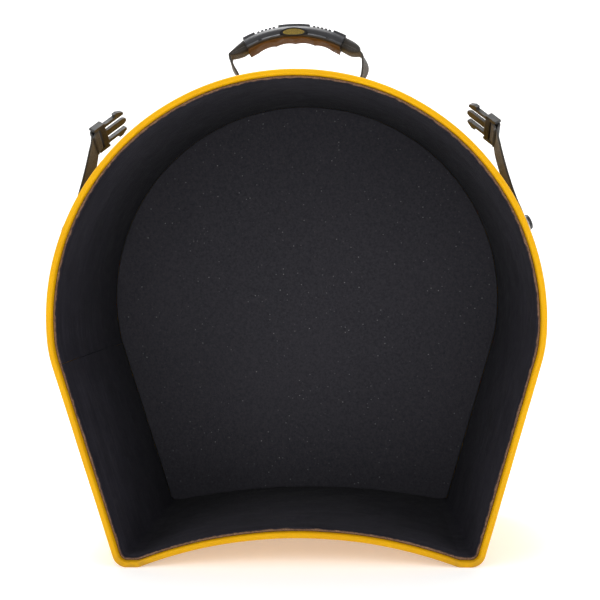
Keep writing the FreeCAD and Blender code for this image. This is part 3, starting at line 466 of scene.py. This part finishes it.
def lay_webbing(name, path, across, width):
    """Webbing carried along a path: its section lies across the path and through its own thickness.

    The across directions are squared to the path, and the marks give the distance along, across and through.
    """
    heading = np.gradient(path, axis=0)
    heading /= np.linalg.norm(heading, axis=1, keepdims=True)
    across = across - heading * np.sum(across * heading, axis=1, keepdims=True)
    across /= np.linalg.norm(across, axis=1, keepdims=True)
    out = np.cross(heading, across)
    side, through = webbing_profile()
    grid = (path[:, None] + across[:, None] * (side * width / 2)[None, :, None]
            + out[:, None] * (through * WEBBING / 2)[None, :, None])
    distance = np.hstack([[0], np.cumsum(np.linalg.norm(np.diff(path, axis=0), axis=1))])
    weave = np.stack(np.broadcast_arrays(distance[:, None], side[None, :] * width / 2,
                                         through[None, :]), axis=-1)
    return lay_surface(name, grid, ends=True, marks={"weave": weave}, crease=50)


BLACK_YARN, WORN_YARN = (0.020, 0.0195, 0.019), (0.055, 0.052, 0.048)
YARN_PITCH = 0.0013
black_webbing = new_finish("black_webbing", BLACK_YARN, Specular_IOR_Level=0.25, Sheen_Weight=0.22,
                           Sheen_Roughness=0.45)
yarn = add_node(black_webbing, "SeparateXYZ", {"Vector": lie_of(black_webbing, "weave")})
turns = [calculate(black_webbing, "SINE", calculate(black_webbing, "MULTIPLY", yarn.outputs[axis],
                                                    2 * math.pi / YARN_PITCH), 0) for axis in ("X", "Y")]
weave = add_node(black_webbing, "MapRange", {"Value": calculate(black_webbing, "MULTIPLY", *turns)},
                 {"From Min": -1.0, "From Max": 1.0}).outputs["Result"]
fuzz = grain(black_webbing, lie_of(black_webbing, "weave", (1, 3, 1)), 900, 5)
rubbed = calculate(black_webbing, "MULTIPLY", weave, fuzz)
dress(black_webbing, Base_Color=blend_colours(black_webbing, rubbed, BLACK_YARN, WORN_YARN),
      Roughness=grain(black_webbing, lie_of(black_webbing), 300, 4, 0.55, 0.8),
      Normal=relief(black_webbing, weave, 0.00035))

THREAD, THREAD_PITCH, THREAD_SUNK = 0.0006, 0.0024, 0.6
SEAM_STEPS = 57
THREAD_GREY, THREAD_PALE = (0.030, 0.029, 0.028), (0.075, 0.072, 0.068)
black_thread = new_finish("black_thread", THREAD_GREY, Specular_IOR_Level=0.3, Roughness=0.6,
                          Sheen_Weight=0.2)
fibres = grain(black_thread, lie_of(black_thread), 1800, 4)
dress(black_thread, Base_Color=blend_colours(black_thread, fibres, THREAD_GREY, THREAD_PALE),
      Normal=relief(black_thread, fibres, 0.0001))


def lay_stitches(name, line, out, body):
    """Row of stitches: a round thread carried along a line, rising over the webbing and dipping into it."""
    distance = np.hstack([[0], np.cumsum(np.linalg.norm(np.diff(line, axis=0), axis=1))])
    rise = THREAD * (np.sqrt(np.abs(np.sin(math.pi * distance / THREAD_PITCH))) - THREAD_SUNK)
    heading = np.gradient(line, axis=0)
    heading /= np.linalg.norm(heading, axis=1, keepdims=True)
    side = np.cross(out, heading)
    turn = np.linspace(0, 2 * math.pi, 8, endpoint=False)[None, :, None]
    grid = (line + out * rise[:, None])[:, None] + THREAD / 2 * (out[:, None] * np.cos(turn)
                                                                 + side[:, None] * np.sin(turn))
    row = lay_surface(name, grid, ends=True, crease=60)
    row.data.materials.append(black_thread)
    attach(row, body)


LEG_LINES = {
    "right": [(0.0285, 0.45685), (0.0410, 0.45455), (0.0540, 0.45213), (0.0605, 0.4537), (0.0650, 0.4585),
              (0.0683, 0.4650), (0.0696, 0.4710), (0.0688, 0.4768), (0.0672, 0.4815), (0.0640, 0.4847)],
    "left": [(-0.0285, 0.45685), (-0.0410, 0.45455), (-0.0505, 0.4529), (-0.0540, 0.4549), (-0.0553, 0.4590),
             (-0.0564, 0.4635), (-0.0586, 0.4678), (-0.0612, 0.4720), (-0.0630, 0.4765), (-0.0641, 0.4806),
             (-0.0640, 0.4847)]}
LEG_STEPS, HINGE_STEP = 90, 30
LEG_TWIST = {"right": math.radians(14), "left": math.radians(-8)}
TWIST_FROM_X, TWIST_FROM_Z, TWIST_RISE = 0.0545, 0.4570, 0.0275
for side, line in LEG_LINES.items():
    flat = smooth_line(line, LEG_STEPS)
    path = np.stack([flat[:, 0], np.full(LEG_STEPS, HANDLE_Y), flat[:, 1]], axis=1)
    standing = np.abs(flat[:, 0]) > TWIST_FROM_X
    rising = np.clip((flat[:, 1] - TWIST_FROM_Z) / TWIST_RISE, 0, 1) * standing
    twist = LEG_TWIST[side] * np.sin(math.pi * rising)
    across = np.stack([np.sin(twist), np.cos(twist), 0 * twist], axis=1)
    leg = lay_webbing(f"handle_webbing_{side}", path, across, WEBBING_WIDTH)
    leg.data.materials.append(black_webbing)
    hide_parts(f"handle_tab_{side}", f"handle_leg_{side}")
    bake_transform(leg)


SLEEVE_ROWS, SLEEVE_COLUMNS, SLEEVE_GAP = 48, 56, 0.0002
SLEEVE_HALF, SLEEVE_SPREAD, SLEEVE_SQUARE = 0.0095, 0.003, 3.2
SLEEVE_END, SLEEVE_UPPER, SLEEVE_UNDER = 0.0011, 0.0060, 0.0046
FOLD_CREASE, CREASE_REACH = 0.05, 0.16
SLEEVE_SEAM_ROWS = slice(4, 40, 5)
UPPER_FULL, UPPER_CLOSE = {"right": 2.6, "left": 1.15}, {"right": 0.5, "left": 0.95}
UNDER_FULL, UNDER_CLOSE = {"right": 0.45, "left": 0.30}, {"right": 2.2, "left": 1.6}


def sleeve_grid(side, sign):
    """Folded sleeve: a rounded section carried straight out of the grip's end and closing to the flat leg.

    Its top slopes down along a power of the share of its length, and its underside stays full before it
    rounds off towards the top. The two sleeves are folded by hand, so one is fuller.
    """
    share = np.linspace(0, 1, SLEEVE_ROWS)[:, None]
    turn = np.linspace(0, 2 * math.pi, SLEEVE_COLUMNS, endpoint=False)[None, :]
    power = 2 / (SLEEVE_SQUARE + 3 * share)
    half = SLEEVE_HALF + SLEEVE_SPREAD * share ** 1.5
    wide = half * np.sign(np.cos(turn)) * np.abs(np.cos(turn)) ** power
    upper = SLEEVE_END + SLEEVE_UPPER * (1 - share ** UPPER_FULL[side]) ** UPPER_CLOSE[side]
    closing = np.clip((share - UNDER_FULL[side]) / (1 - UNDER_FULL[side]), 0, 1)
    under = SLEEVE_END + SLEEVE_UNDER * (1 - closing ** UNDER_CLOSE[side])
    fold = np.where(np.sin(turn) > 0, upper, under) * np.sign(np.sin(turn)) * np.abs(np.sin(turn)) ** power
    crease = 1 - FOLD_CREASE * np.exp(-((np.abs(fold) / upper) / CREASE_REACH) ** 2)
    along = SLEEVE_LENGTH * share + SLEEVE_GAP
    cosine, sine = math.cos(GRIP_END), math.sin(GRIP_END)
    reach = SPLIT_RADIUS + SLEEVE_RISE + fold
    x, z = reach * sine + along * cosine, GRIP_CENTRE_Z + reach * cosine - along * sine
    grid = np.stack(np.broadcast_arrays(sign * x, HANDLE_Y + wide * crease, z), axis=-1)
    lie = np.stack(np.broadcast_arrays(along, wide, fold), axis=-1)
    return grid, lie


for side, sign in (("right", 1), ("left", -1)):
    grid, weave_lie = sleeve_grid(side, sign)
    sleeve = lay_surface(f"handle_sleeve_{side}_fold", grid, ends=True, marks={"weave": weave_lie}, crease=60)
    sleeve.data.materials.append(black_webbing)
    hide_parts(f"handle_sleeve_{side}")
    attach(sleeve, "handle")
    for label, column, facing in (("front", SLEEVE_COLUMNS // 2, -1), ("rear", 0, 1)):
        seam = smooth_line(grid[SLEEVE_SEAM_ROWS, column], SEAM_STEPS)
        lay_stitches(f"handle_sleeve_{side}_seam_{label}", seam,
                     np.tile([0.0, facing, 0.0], (SEAM_STEPS, 1)), "handle")


# Grip. Two arched halves moulded in black plastic and held together by two cross pins round a webbing core.
# The upper half has a raised middle pad, ribs and raised ends; the lower one has finger grooves and is
# painted brown for the warm light bounced up onto it from the yellow shell.

UPPER_HEIGHT = 0.011
PAD_RISE, RIB_RISE, PAD_EASE, RIB_EASE = 0.0022, 0.0014, 0.12, 0.15
PAD_HALF, CAP_START = 8.3, 21.0
RIB_FIRST, RIB_PITCH, RIB_HALF, RIB_COUNT = 10.6, 2.1, 0.66, 5
LOWER_HEIGHT, SPLIT_GAP = 0.0026, 0.0002
GRIP_BUMP, BUMP_POWER = 0.0010, 2.6
END_FLARE, FLARE_TOP = 16.0, 0.0953
GROOVE, GROOVE_RADIUS, GROOVE_PITCH, GROOVE_COUNT = 0.0014, 0.030, 11.5, 4
UPPER_SECTION = [(0.0, 0.0, 0), (0.0138, 0.0, 0), (0.0150, 0.0002, 0), (0.0155, 0.0009, 0),
                 (0.0154, 0.0017, 0), (0.0146, 0.0026, 0), (0.0139, 0.0034, 0), (0.0138, 0.0046, 0),
                 (0.0138, 0.0057, 0), (0.0135, 0.0068, 0), (0.0130, 0.0078, 0), (0.0123, 0.0088, 0),
                 (0.0115, 0.0097, 0), (0.0107, 0.0105, 0), (0.0104, 0.0107, 0.15), (0.0102, 0.0109, 0.85),
                 (0.0098, 0.0110, 1), (0.0, 0.0112, 1)]
LOWER_SECTION = [(0.0, 0.0), (0.0085, 0.0), (0.0112, 0.10), (0.0128, 0.32), (0.0136, 0.62), (0.0139, 0.88),
                 (0.0137, 1.0), (0.0, 1.0)]


def soft_step(value, at, reach):
    """Smooth rise from 0 to 1 around a value, over twice a reach."""
    share = np.clip((value - at) / (2 * reach) + 0.5, 0, 1)
    return share * share * (3 - 2 * share)


def around_grip(name, angle, half_width, radius, crease):
    """Surface carried along the grip's arc: at each angle a closed section of half widths and radii."""
    turn = np.radians(angle.reshape(len(angle), -1))
    grid = np.stack(np.broadcast_arrays(radius * np.sin(turn), HANDLE_Y + half_width,
                                        GRIP_CENTRE_Z + radius * np.cos(turn)), axis=-1)
    return lay_surface(name, grid, ends=True, crease=crease)


angle = np.linspace(-GRIP_SWEEP, GRIP_SWEEP, 561)
rise = PAD_RISE * (1 - soft_step(np.abs(angle), PAD_HALF, PAD_EASE))
rise += PAD_RISE * soft_step(np.abs(angle), CAP_START, PAD_EASE)
for rib in range(RIB_COUNT):
    off_rib = np.abs(np.abs(angle) - RIB_FIRST - RIB_PITCH * rib)
    rise += RIB_RISE * (1 - soft_step(off_rib, RIB_HALF, RIB_EASE))
section = np.array(UPPER_SECTION)
section = np.vstack([section, section[-2:0:-1] * (-1, 1, 1)])
upper_radius = SPLIT_RADIUS + section[None, :, 1] + section[None, :, 2] * rise[:, None]
grip_upper = around_grip("grip_upper_half", angle, section[None, :, 0], upper_radius, 35)

angle = np.linspace(-GRIP_SWEEP, GRIP_SWEEP, 361)
bottom = SPLIT_RADIUS - LOWER_HEIGHT
finger = np.clip(np.round(angle / GROOVE_PITCH - 0.5), -GROOVE_COUNT // 2, GROOVE_COUNT // 2 - 1)
finger = (finger + 0.5) * GROOVE_PITCH
off = np.minimum(np.abs(bottom * np.radians(angle - finger)), GROOVE_RADIUS)
scallop = np.maximum(GROOVE - GROOVE_RADIUS + np.sqrt(GROOVE_RADIUS ** 2 - off ** 2), 0)
bottom = bottom + scallop - GRIP_BUMP * (np.abs(angle) / GRIP_SWEEP) ** BUMP_POWER
section = np.array(LOWER_SECTION)
section = np.vstack([section, section[-2:0:-1] * (-1, 1)])
lower_radius = bottom[:, None] + section[None, :, 1] * (SPLIT_RADIUS - SPLIT_GAP - bottom[:, None])
flared = angle[:, None] * (1 + END_FLARE * np.maximum(FLARE_TOP - lower_radius, 0))
grip_lower = around_grip("grip_lower_half", flared, section[None, :, 0], lower_radius, 50)

CORE_HEIGHT, CORE_WIDTH = 0.007, 0.016
angle = np.linspace(-GRIP_SWEEP, GRIP_SWEEP, 61)
turn = np.linspace(0, 2 * math.pi, 40, endpoint=False)
squared = np.stack([np.cos(turn), np.sin(turn)])
squared = np.sign(squared) * np.sqrt(np.abs(squared))
grip_core = around_grip("grip_core", angle, CORE_WIDTH / 2 * squared[None, 0],
                        SPLIT_RADIUS + CORE_HEIGHT / 2 * (1 + squared[None, 1]), 50)

BLACK_PLASTIC, DUSTY_PLASTIC = (0.015, 0.0152, 0.0185), (0.034, 0.034, 0.038)
# Painted bounce light: the lower half is coloured brown for the warm light thrown up from the yellow shell.
GRIP_BOUNCE_BROWN, GRIP_BOUNCE_BROWN_DARK = (0.098, 0.052, 0.020), (0.074, 0.038, 0.014)


def moulded_finish(name, ground, worn, specular, low, high):
    """Moulded plastic with handled patches, a fine pebble and a roughness that varies from low to high."""
    finish = new_finish(name, ground, Specular_IOR_Level=specular)
    lie = lie_of(finish)
    handled = grain(finish, lie, 130, 7, 0, 0.55, (0.45, 0.75))
    dress(finish, Base_Color=blend_colours(finish, handled, ground, worn),
          Roughness=grain(finish, lie, 180, 6, low, high),
          Normal=relief(finish, grain(finish, lie, 2600, 2), 0.00003))
    return finish


grip_plastic = moulded_finish("black_grip_plastic", BLACK_PLASTIC, DUSTY_PLASTIC, 0.45, 0.34, 0.46)
lower_grip_finish_with_bounce = moulded_finish("lower_grip_painted_bounce", GRIP_BOUNCE_BROWN, GRIP_BOUNCE_BROWN_DARK, 0.05, 0.5, 0.7)
for piece, node, finish, slot in ((grip_upper, "grip_upper", grip_plastic, "grip_plastic"),
                                  (grip_lower, "grip_lower", lower_grip_finish_with_bounce, "grip_plastic"),
                                  (grip_core, "handle_core", black_webbing, "webbing")):
    piece.data.materials.append(finish)
    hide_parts(node)
    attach(piece, "handle")

BADGE_HALF, BADGE_TALL, BADGE_BORDER, BADGE_BORDER_FROM = 0.0140, 0.0042, 0.25, 0.7
FIELD_HALF, FIELD_TALL, FIELD_EDGE = 0.0106, 0.00292, 0.99
BADGE_DROP, BADGE_BACK, BADGE_FRONT = 0.007, 0.0125, 0.0160
BADGE_Z = GRIP_CENTRE_Z + SPLIT_RADIUS + UPPER_HEIGHT - BADGE_DROP
share = np.array([1.0, 1.0, 0.985, 0.95, 0.90, 0.80, 0.757, 0.60, 0.30, 0.0])
front = np.array([0.0, 0.85, 0.95, 1.0, 1.0, 0.98, 0.86, 0.86, 0.87, 0.88])
turn = np.linspace(0, 2 * math.pi, 72, endpoint=False)
oval_x = BADGE_HALF * share[:, None] * np.cos(turn)
flattened = share - BADGE_BORDER * (1 - share) * (share > BADGE_BORDER_FROM)
oval_z = BADGE_TALL * flattened[:, None] * np.sin(turn)
oval_y = HANDLE_Y - BADGE_BACK - (BADGE_FRONT - BADGE_BACK) * front[:, None]
sagging = -oval_x ** 2 / (2 * SPLIT_RADIUS)
grid = np.stack(np.broadcast_arrays(oval_x, oval_y, BADGE_Z + oval_z + sagging), axis=-1)
badge = lay_surface("grip_badge_plain", grid, crease=60)
BADGE_FIELD, BADGE_FIELD_DARK = (0.23, 0.165, 0.020), (0.09, 0.065, 0.010)
BADGE_BLACK, BADGE_RUBBED = (0.006, 0.006, 0.007), (0.014, 0.014, 0.015)
badge_rim = moulded_finish("black_badge_rim", BADGE_BLACK, BADGE_RUBBED, 0.2, 0.3, 0.5)
badge_field = new_finish("plain_badge_field", BADGE_FIELD, Specular_IOR_Level=0.4)
lie = lie_of(badge_field)
dress(badge_field, Base_Color=blend_colours(badge_field, grain(badge_field, lie, 700, 5), BADGE_FIELD,
                                            BADGE_FIELD_DARK),
      Roughness=grain(badge_field, lie, 500, 5, 0.3, 0.5))
badge.data.materials.append(badge_rim)
badge.data.materials.append(badge_field)
middles = face_values(badge, "center")
off_middle = np.hypot(middles[:, 0] / FIELD_HALF,
                      (middles[:, 2] - BADGE_Z + middles[:, 0] ** 2 / (2 * SPLIT_RADIUS)) / FIELD_TALL)
badge.data.polygons.foreach_set("material_index", (off_middle < FIELD_EDGE).astype(np.int32))
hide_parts("grip_badge")
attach(badge, "handle")


# Rivets, washers and pins. Black steel rivets clamp the webbing to the shell between an outer washer and a
# backing washer behind the wall, and two black steel pins cross the grip; all are pressed or turned parts.

RIVET_BLACK, WORN_STEEL = (0.022, 0.022, 0.024), (0.16, 0.155, 0.15)
PLAIN_STEEL, DULL_STEEL = (0.42, 0.41, 0.40), (0.26, 0.25, 0.24)
METAL_EDGE_ROUND, EDGE_JOIN, EDGE_ANGLE = 0.00025, 1e-5, math.radians(35)


def metal_finish(name, ground, worn, metallic, low, high):
    """Metal with worn patches, fine turning marks and a roughness that varies between low and high."""
    finish = new_finish(name, ground, Metallic=metallic)
    lie = lie_of(finish)
    patches = grain(finish, lie, 420, 6, 0, 0.7, (0.5, 0.75))
    dress(finish, Base_Color=blend_colours(finish, patches, ground, worn),
          Roughness=grain(finish, lie, 800, 4, low, high),
          Normal=relief(finish, grain(finish, lie, 1800, 2), 0.00003))
    return finish


def soften_edges(piece, width, segments=2):
    """Rounds the edges of a CAD node: its triangles are joined, then bevelled with its last material."""
    piece.modifiers.new("join", "WELD").merge_threshold = EDGE_JOIN
    rounding = piece.modifiers.new("rounding", "BEVEL")
    rounding.width, rounding.segments = width, segments
    rounding.limit_method, rounding.angle_limit = "ANGLE", EDGE_ANGLE
    rounding.harden_normals = True
    rounding.material = len(piece.data.materials) - 1


black_rivet = metal_finish("black_rivet_steel", RIVET_BLACK, WORN_STEEL, 0.6, 0.25, 0.5)
washer_steel = metal_finish("washer_steel", PLAIN_STEEL, DULL_STEEL, 1.0, 0.25, 0.45)
for node, finish in (("handle_rivets", black_rivet), ("strap_rivets", black_rivet),
                     ("grip_pins", black_rivet), ("handle_washers", washer_steel),
                     ("strap_washers", washer_steel), ("handle_backing_washers", washer_steel),
                     ("strap_backing_washers", washer_steel)):
    metal_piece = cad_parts[node]
    metal_piece.data.materials.clear()
    metal_piece.data.materials.append(finish)
    soften_edges(metal_piece, METAL_EDGE_ROUND)


# Straps. Two short lengths of narrower black webbing, each folded double under its rivet on the shell's
# shoulder, then standing up freely and sewn into a loop round the bar of its buckle plug.

STRAP_ANCHOR = np.array([0.212854, -0.060500, 0.311801])
STRAP_UP = np.array([-math.sin(math.radians(21.4)), 0, math.cos(math.radians(21.4))])
STRAP_OUT = np.array([0.9307, 0.0275, 0.3647])
STRAP_ACROSS = np.cross(STRAP_OUT, STRAP_UP)
PLUG_BAR = np.array([0.191071, -0.051163, 0.400680])
PLUG_TIPS = np.array([-0.56801, 0.57284, 0.59095])
PLUG_ACROSS = np.array([-0.01000, -0.72278, 0.69101])
PLUG_OUT = np.array([0.82296, 0.38659, 0.41627])
PLUG_FOLD = math.radians(40)
MEET_ALONG = PLUG_TIPS * math.cos(PLUG_FOLD) + PLUG_OUT * math.sin(PLUG_FOLD)
MEET_OUT = PLUG_OUT * math.cos(PLUG_FOLD) - PLUG_TIPS * math.sin(PLUG_FOLD)
STRAP_WIDTH, SEAT_GAP, LOOP_MIDDLE = 0.0212, 0.0003, 0.00320
STRAP_BOW, STRAP_LEAN = 0.0025, math.radians(5)
LOOP_SEAMS = ((-0.0070, 0.0015), (-0.0092, 0.0015), (-0.0068, -0.0010), (-0.0088, -0.0010))
PAD_SEAMS, SEAM_SHARE = (0.0100, -0.0100), 0.78
FOLD_EASE = 0.00006
PAD_UNDER, PAD_OVER = SEAT_GAP + WEBBING / 2, SEAT_GAP + WEBBING * 1.5

pad_line = np.array([(0.0125, PAD_UNDER), (0.004, PAD_UNDER), (-0.006, PAD_UNDER), (-0.0114, PAD_UNDER),
                     (-0.0122, PAD_UNDER + FOLD_EASE), (-0.0136, (PAD_UNDER + PAD_OVER) / 2),
                     (-0.0122, PAD_OVER - FOLD_EASE), (-0.0114, PAD_OVER), (-0.006, PAD_OVER),
                     (0.004, PAD_OVER), (0.013, PAD_OVER + 0.0002)])
on_wall = STRAP_ANCHOR + pad_line[:, :1] * STRAP_UP + pad_line[:, 1:] * STRAP_OUT
loop_turn = np.radians(np.linspace(90, -170, 14))
loop_line = np.vstack([[(-0.0075, 0.0015)],
                       LOOP_MIDDLE * np.stack([np.cos(loop_turn), np.sin(loop_turn)], axis=1)[:-2],
                       [(-0.0058, -0.0010), (-0.0100, -0.0010)]])
round_bar = PLUG_BAR + loop_line[:, :1] * MEET_ALONG + loop_line[:, 1:] * MEET_OUT
leave, arrive = on_wall[-1], round_bar[0]
span = np.linalg.norm(arrive - leave)
share = np.linspace(0, 1, 9)[1:-1, None]
first, second = leave + STRAP_UP * span / 3, arrive - MEET_ALONG * span / 8
bowed = STRAP_OUT * STRAP_BOW
free_run = (leave * (1 - share) ** 3 + (first - bowed) * 3 * share * (1 - share) ** 2
            + (second - bowed) * 3 * share ** 2 * (1 - share) + arrive * share ** 3)
strap_path = smooth_line(np.vstack([on_wall, free_run, round_bar]), 260)
from_wall = (strap_path - leave) @ (arrive - leave) / span ** 2
twist = np.clip(from_wall, 0, 1)[:, None] ** 3
lean = STRAP_LEAN * np.sin(math.pi * np.clip(from_wall, 0, 1))[:, None]
strap_across = STRAP_ACROSS * (1 - twist) + PLUG_ACROSS * twist + STRAP_OUT * np.tan(lean)
strap_facing = np.cross(np.gradient(strap_path, axis=0), strap_across)
strap_facing /= np.linalg.norm(strap_facing, axis=1, keepdims=True)
seams = [PLUG_BAR + along * MEET_ALONG + out * MEET_OUT for along, out in LOOP_SEAMS]
seams += [STRAP_ANCHOR + along * STRAP_UP + PAD_OVER * STRAP_OUT for along in PAD_SEAMS]
seam_points = [int(np.argmin(np.linalg.norm(strap_path - spot, axis=1))) for spot in seams]
seam_reach = np.linspace(-SEAM_SHARE, SEAM_SHARE, SEAM_STEPS)[:, None] * STRAP_WIDTH / 2
for side, sign in (("right", 1), ("left", -1)):
    mirror = np.array([sign, 1, 1])
    strap = lay_webbing(f"strap_{side}_webbing", strap_path * mirror, strap_across * mirror, STRAP_WIDTH)
    strap.data.materials.append(black_webbing)
    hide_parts(f"strap_webbing_{side}")
    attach(strap, f"strap_{side}")
    for row, at in enumerate(seam_points):
        line = strap_path[at] + strap_facing[at] * WEBBING / 2 + strap_across[at] * seam_reach
        lay_stitches(f"strap_{side}_seam_{row + 1}", line * mirror,
                     np.tile(strap_facing[at] * mirror, (SEAM_STEPS, 1)), f"strap_{side}")


# Buckle plugs. The plug halves of two side-release buckles, moulded in black plastic: a ribbed block with a
# bar for the strap, a middle guide, and two barbed tines that bend inwards when they are squeezed.

PLUG_BLACK, PLUG_SCUFF = (0.022, 0.0215, 0.021), (0.060, 0.058, 0.056)
# Painted highlight: the bevelled edges are much lighter, for light caught along them and for rubbed wear.
PLUG_EDGE_HIGHLIGHT_AND_WEAR, PLUG_EDGE_ROUND = (0.15, 0.145, 0.14), 0.0004
plug_plastic = moulded_finish("black_plug_plastic", PLUG_BLACK, PLUG_SCUFF, 0.3, 0.38, 0.55)
plug_edge_highlit_finish = moulded_finish("plug_edge_highlight_and_wear", PLUG_EDGE_HIGHLIGHT_AND_WEAR, PLUG_SCUFF, 0.4, 0.35, 0.55)
for side in ("right", "left"):
    for stem in ("plug_body", "plug_tine_front", "plug_tine_rear"):
        plug_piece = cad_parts[f"{stem}_{side}"]
        plug_piece.data.materials.clear()
        plug_piece.data.materials.append(plug_plastic)
        plug_piece.data.materials.append(plug_edge_highlit_finish)
        soften_edges(plug_piece, PLUG_EDGE_ROUND)


# Studio. A plain white paper floor that sweeps up behind the case and glows a little, soft light from wide
# panels above and beside it, and a camera in front of the mouth, a little to the right and above its middle.

FLOOR_WHITE = (0.90, 0.90, 0.90)
FLOOR_GLOW, STUDIO_WHITE = 0.3, 0.70
SWEEP_RADIUS, SWEEP_FRONT, SWEEP_BACK, SWEEP_TOP, SWEEP_HALF_WIDTH = 0.8, -3.0, 2.2, 3.0, 4.0
turn = np.radians(np.linspace(0, 90, 24))
sweep_y = np.concatenate([[SWEEP_FRONT, 0.0, 1.0],
                          SWEEP_BACK - SWEEP_RADIUS + SWEEP_RADIUS * np.sin(turn), [SWEEP_BACK]])
sweep_z = np.concatenate([[0, 0, 0], SWEEP_RADIUS * (1 - np.cos(turn)), [SWEEP_TOP]])
sweep_x = np.linspace(-SWEEP_HALF_WIDTH, SWEEP_HALF_WIDTH, 5)
grid = np.stack(np.broadcast_arrays(sweep_x[None, :], sweep_y[:, None], sweep_z[:, None]), axis=-1)
floor = lay_surface("studio_floor", grid, closed=False)
floor_paper = new_finish("white_paper", FLOOR_WHITE, Specular_IOR_Level=0.1, Emission_Color=(1, 1, 1, 1),
                         Emission_Strength=FLOOR_GLOW)
dress(floor_paper, Roughness=grain(floor_paper, lie_of(floor_paper), 40, 4, 0.8, 0.95))
floor.data.materials.append(floor_paper)

scene = bpy.context.scene
scene.view_settings.view_transform = "Standard"
studio = bpy.data.worlds.new("studio_light")
studio.use_nodes = True
studio.node_tree.nodes["Background"].inputs["Color"].default_value = (1, 1, 1, 1)
studio.node_tree.nodes["Background"].inputs["Strength"].default_value = STUDIO_WHITE
scene.world = studio
LIGHT_TARGET = Vector((0, 0, 0.25))
LIGHTS = (("light_above", (-0.2, 0.35, 2.0), 0.9, 32), ("light_left", (-1.9, -1.5, 1.5), 1.2, 20),
          ("light_right", (2.0, -1.2, 1.2), 1.2, 17))
for name, spot, size, power in LIGHTS:
    lamp = bpy.data.lights.new(name, "AREA")
    lamp.shape, lamp.size, lamp.energy = "SQUARE", size, power
    holder = bpy.data.objects.new(name, lamp)
    holder.location = spot
    holder.rotation_euler = (LIGHT_TARGET - Vector(spot)).to_track_quat("-Z", "Y").to_euler()
    scene.collection.objects.link(holder)

CAMERA_SPOT = (0.061471, -0.860251, 0.304945)
CAMERA_YAW, CAMERA_PITCH, CAMERA_ROLL = math.radians(-2.35), math.radians(-1.22), math.radians(-0.88)
FOCAL_PIXELS, IMAGE_PIXELS, SENSOR = 845.1, 600, 36
SHIFT_PIXELS = (-25.19, -46.66)
ahead = Vector((math.sin(CAMERA_YAW) * math.cos(CAMERA_PITCH), math.cos(CAMERA_YAW) * math.cos(CAMERA_PITCH),
                math.sin(CAMERA_PITCH)))
level = Vector((math.cos(CAMERA_YAW), -math.sin(CAMERA_YAW), 0))
upright = level.cross(ahead)
right = level * math.cos(CAMERA_ROLL) + upright * math.sin(CAMERA_ROLL)
over = upright * math.cos(CAMERA_ROLL) - level * math.sin(CAMERA_ROLL)
camera = bpy.data.objects.new("camera", bpy.data.cameras.new("camera"))
camera.matrix_world = Matrix.Translation(CAMERA_SPOT) @ Matrix((right, over, -ahead)).transposed().to_4x4()
camera.data.sensor_width = SENSOR
camera.data.lens = FOCAL_PIXELS / IMAGE_PIXELS * SENSOR
camera.data.shift_x, camera.data.shift_y = (pixels / IMAGE_PIXELS for pixels in SHIFT_PIXELS)
scene.collection.objects.link(camera)
scene.camera = camera
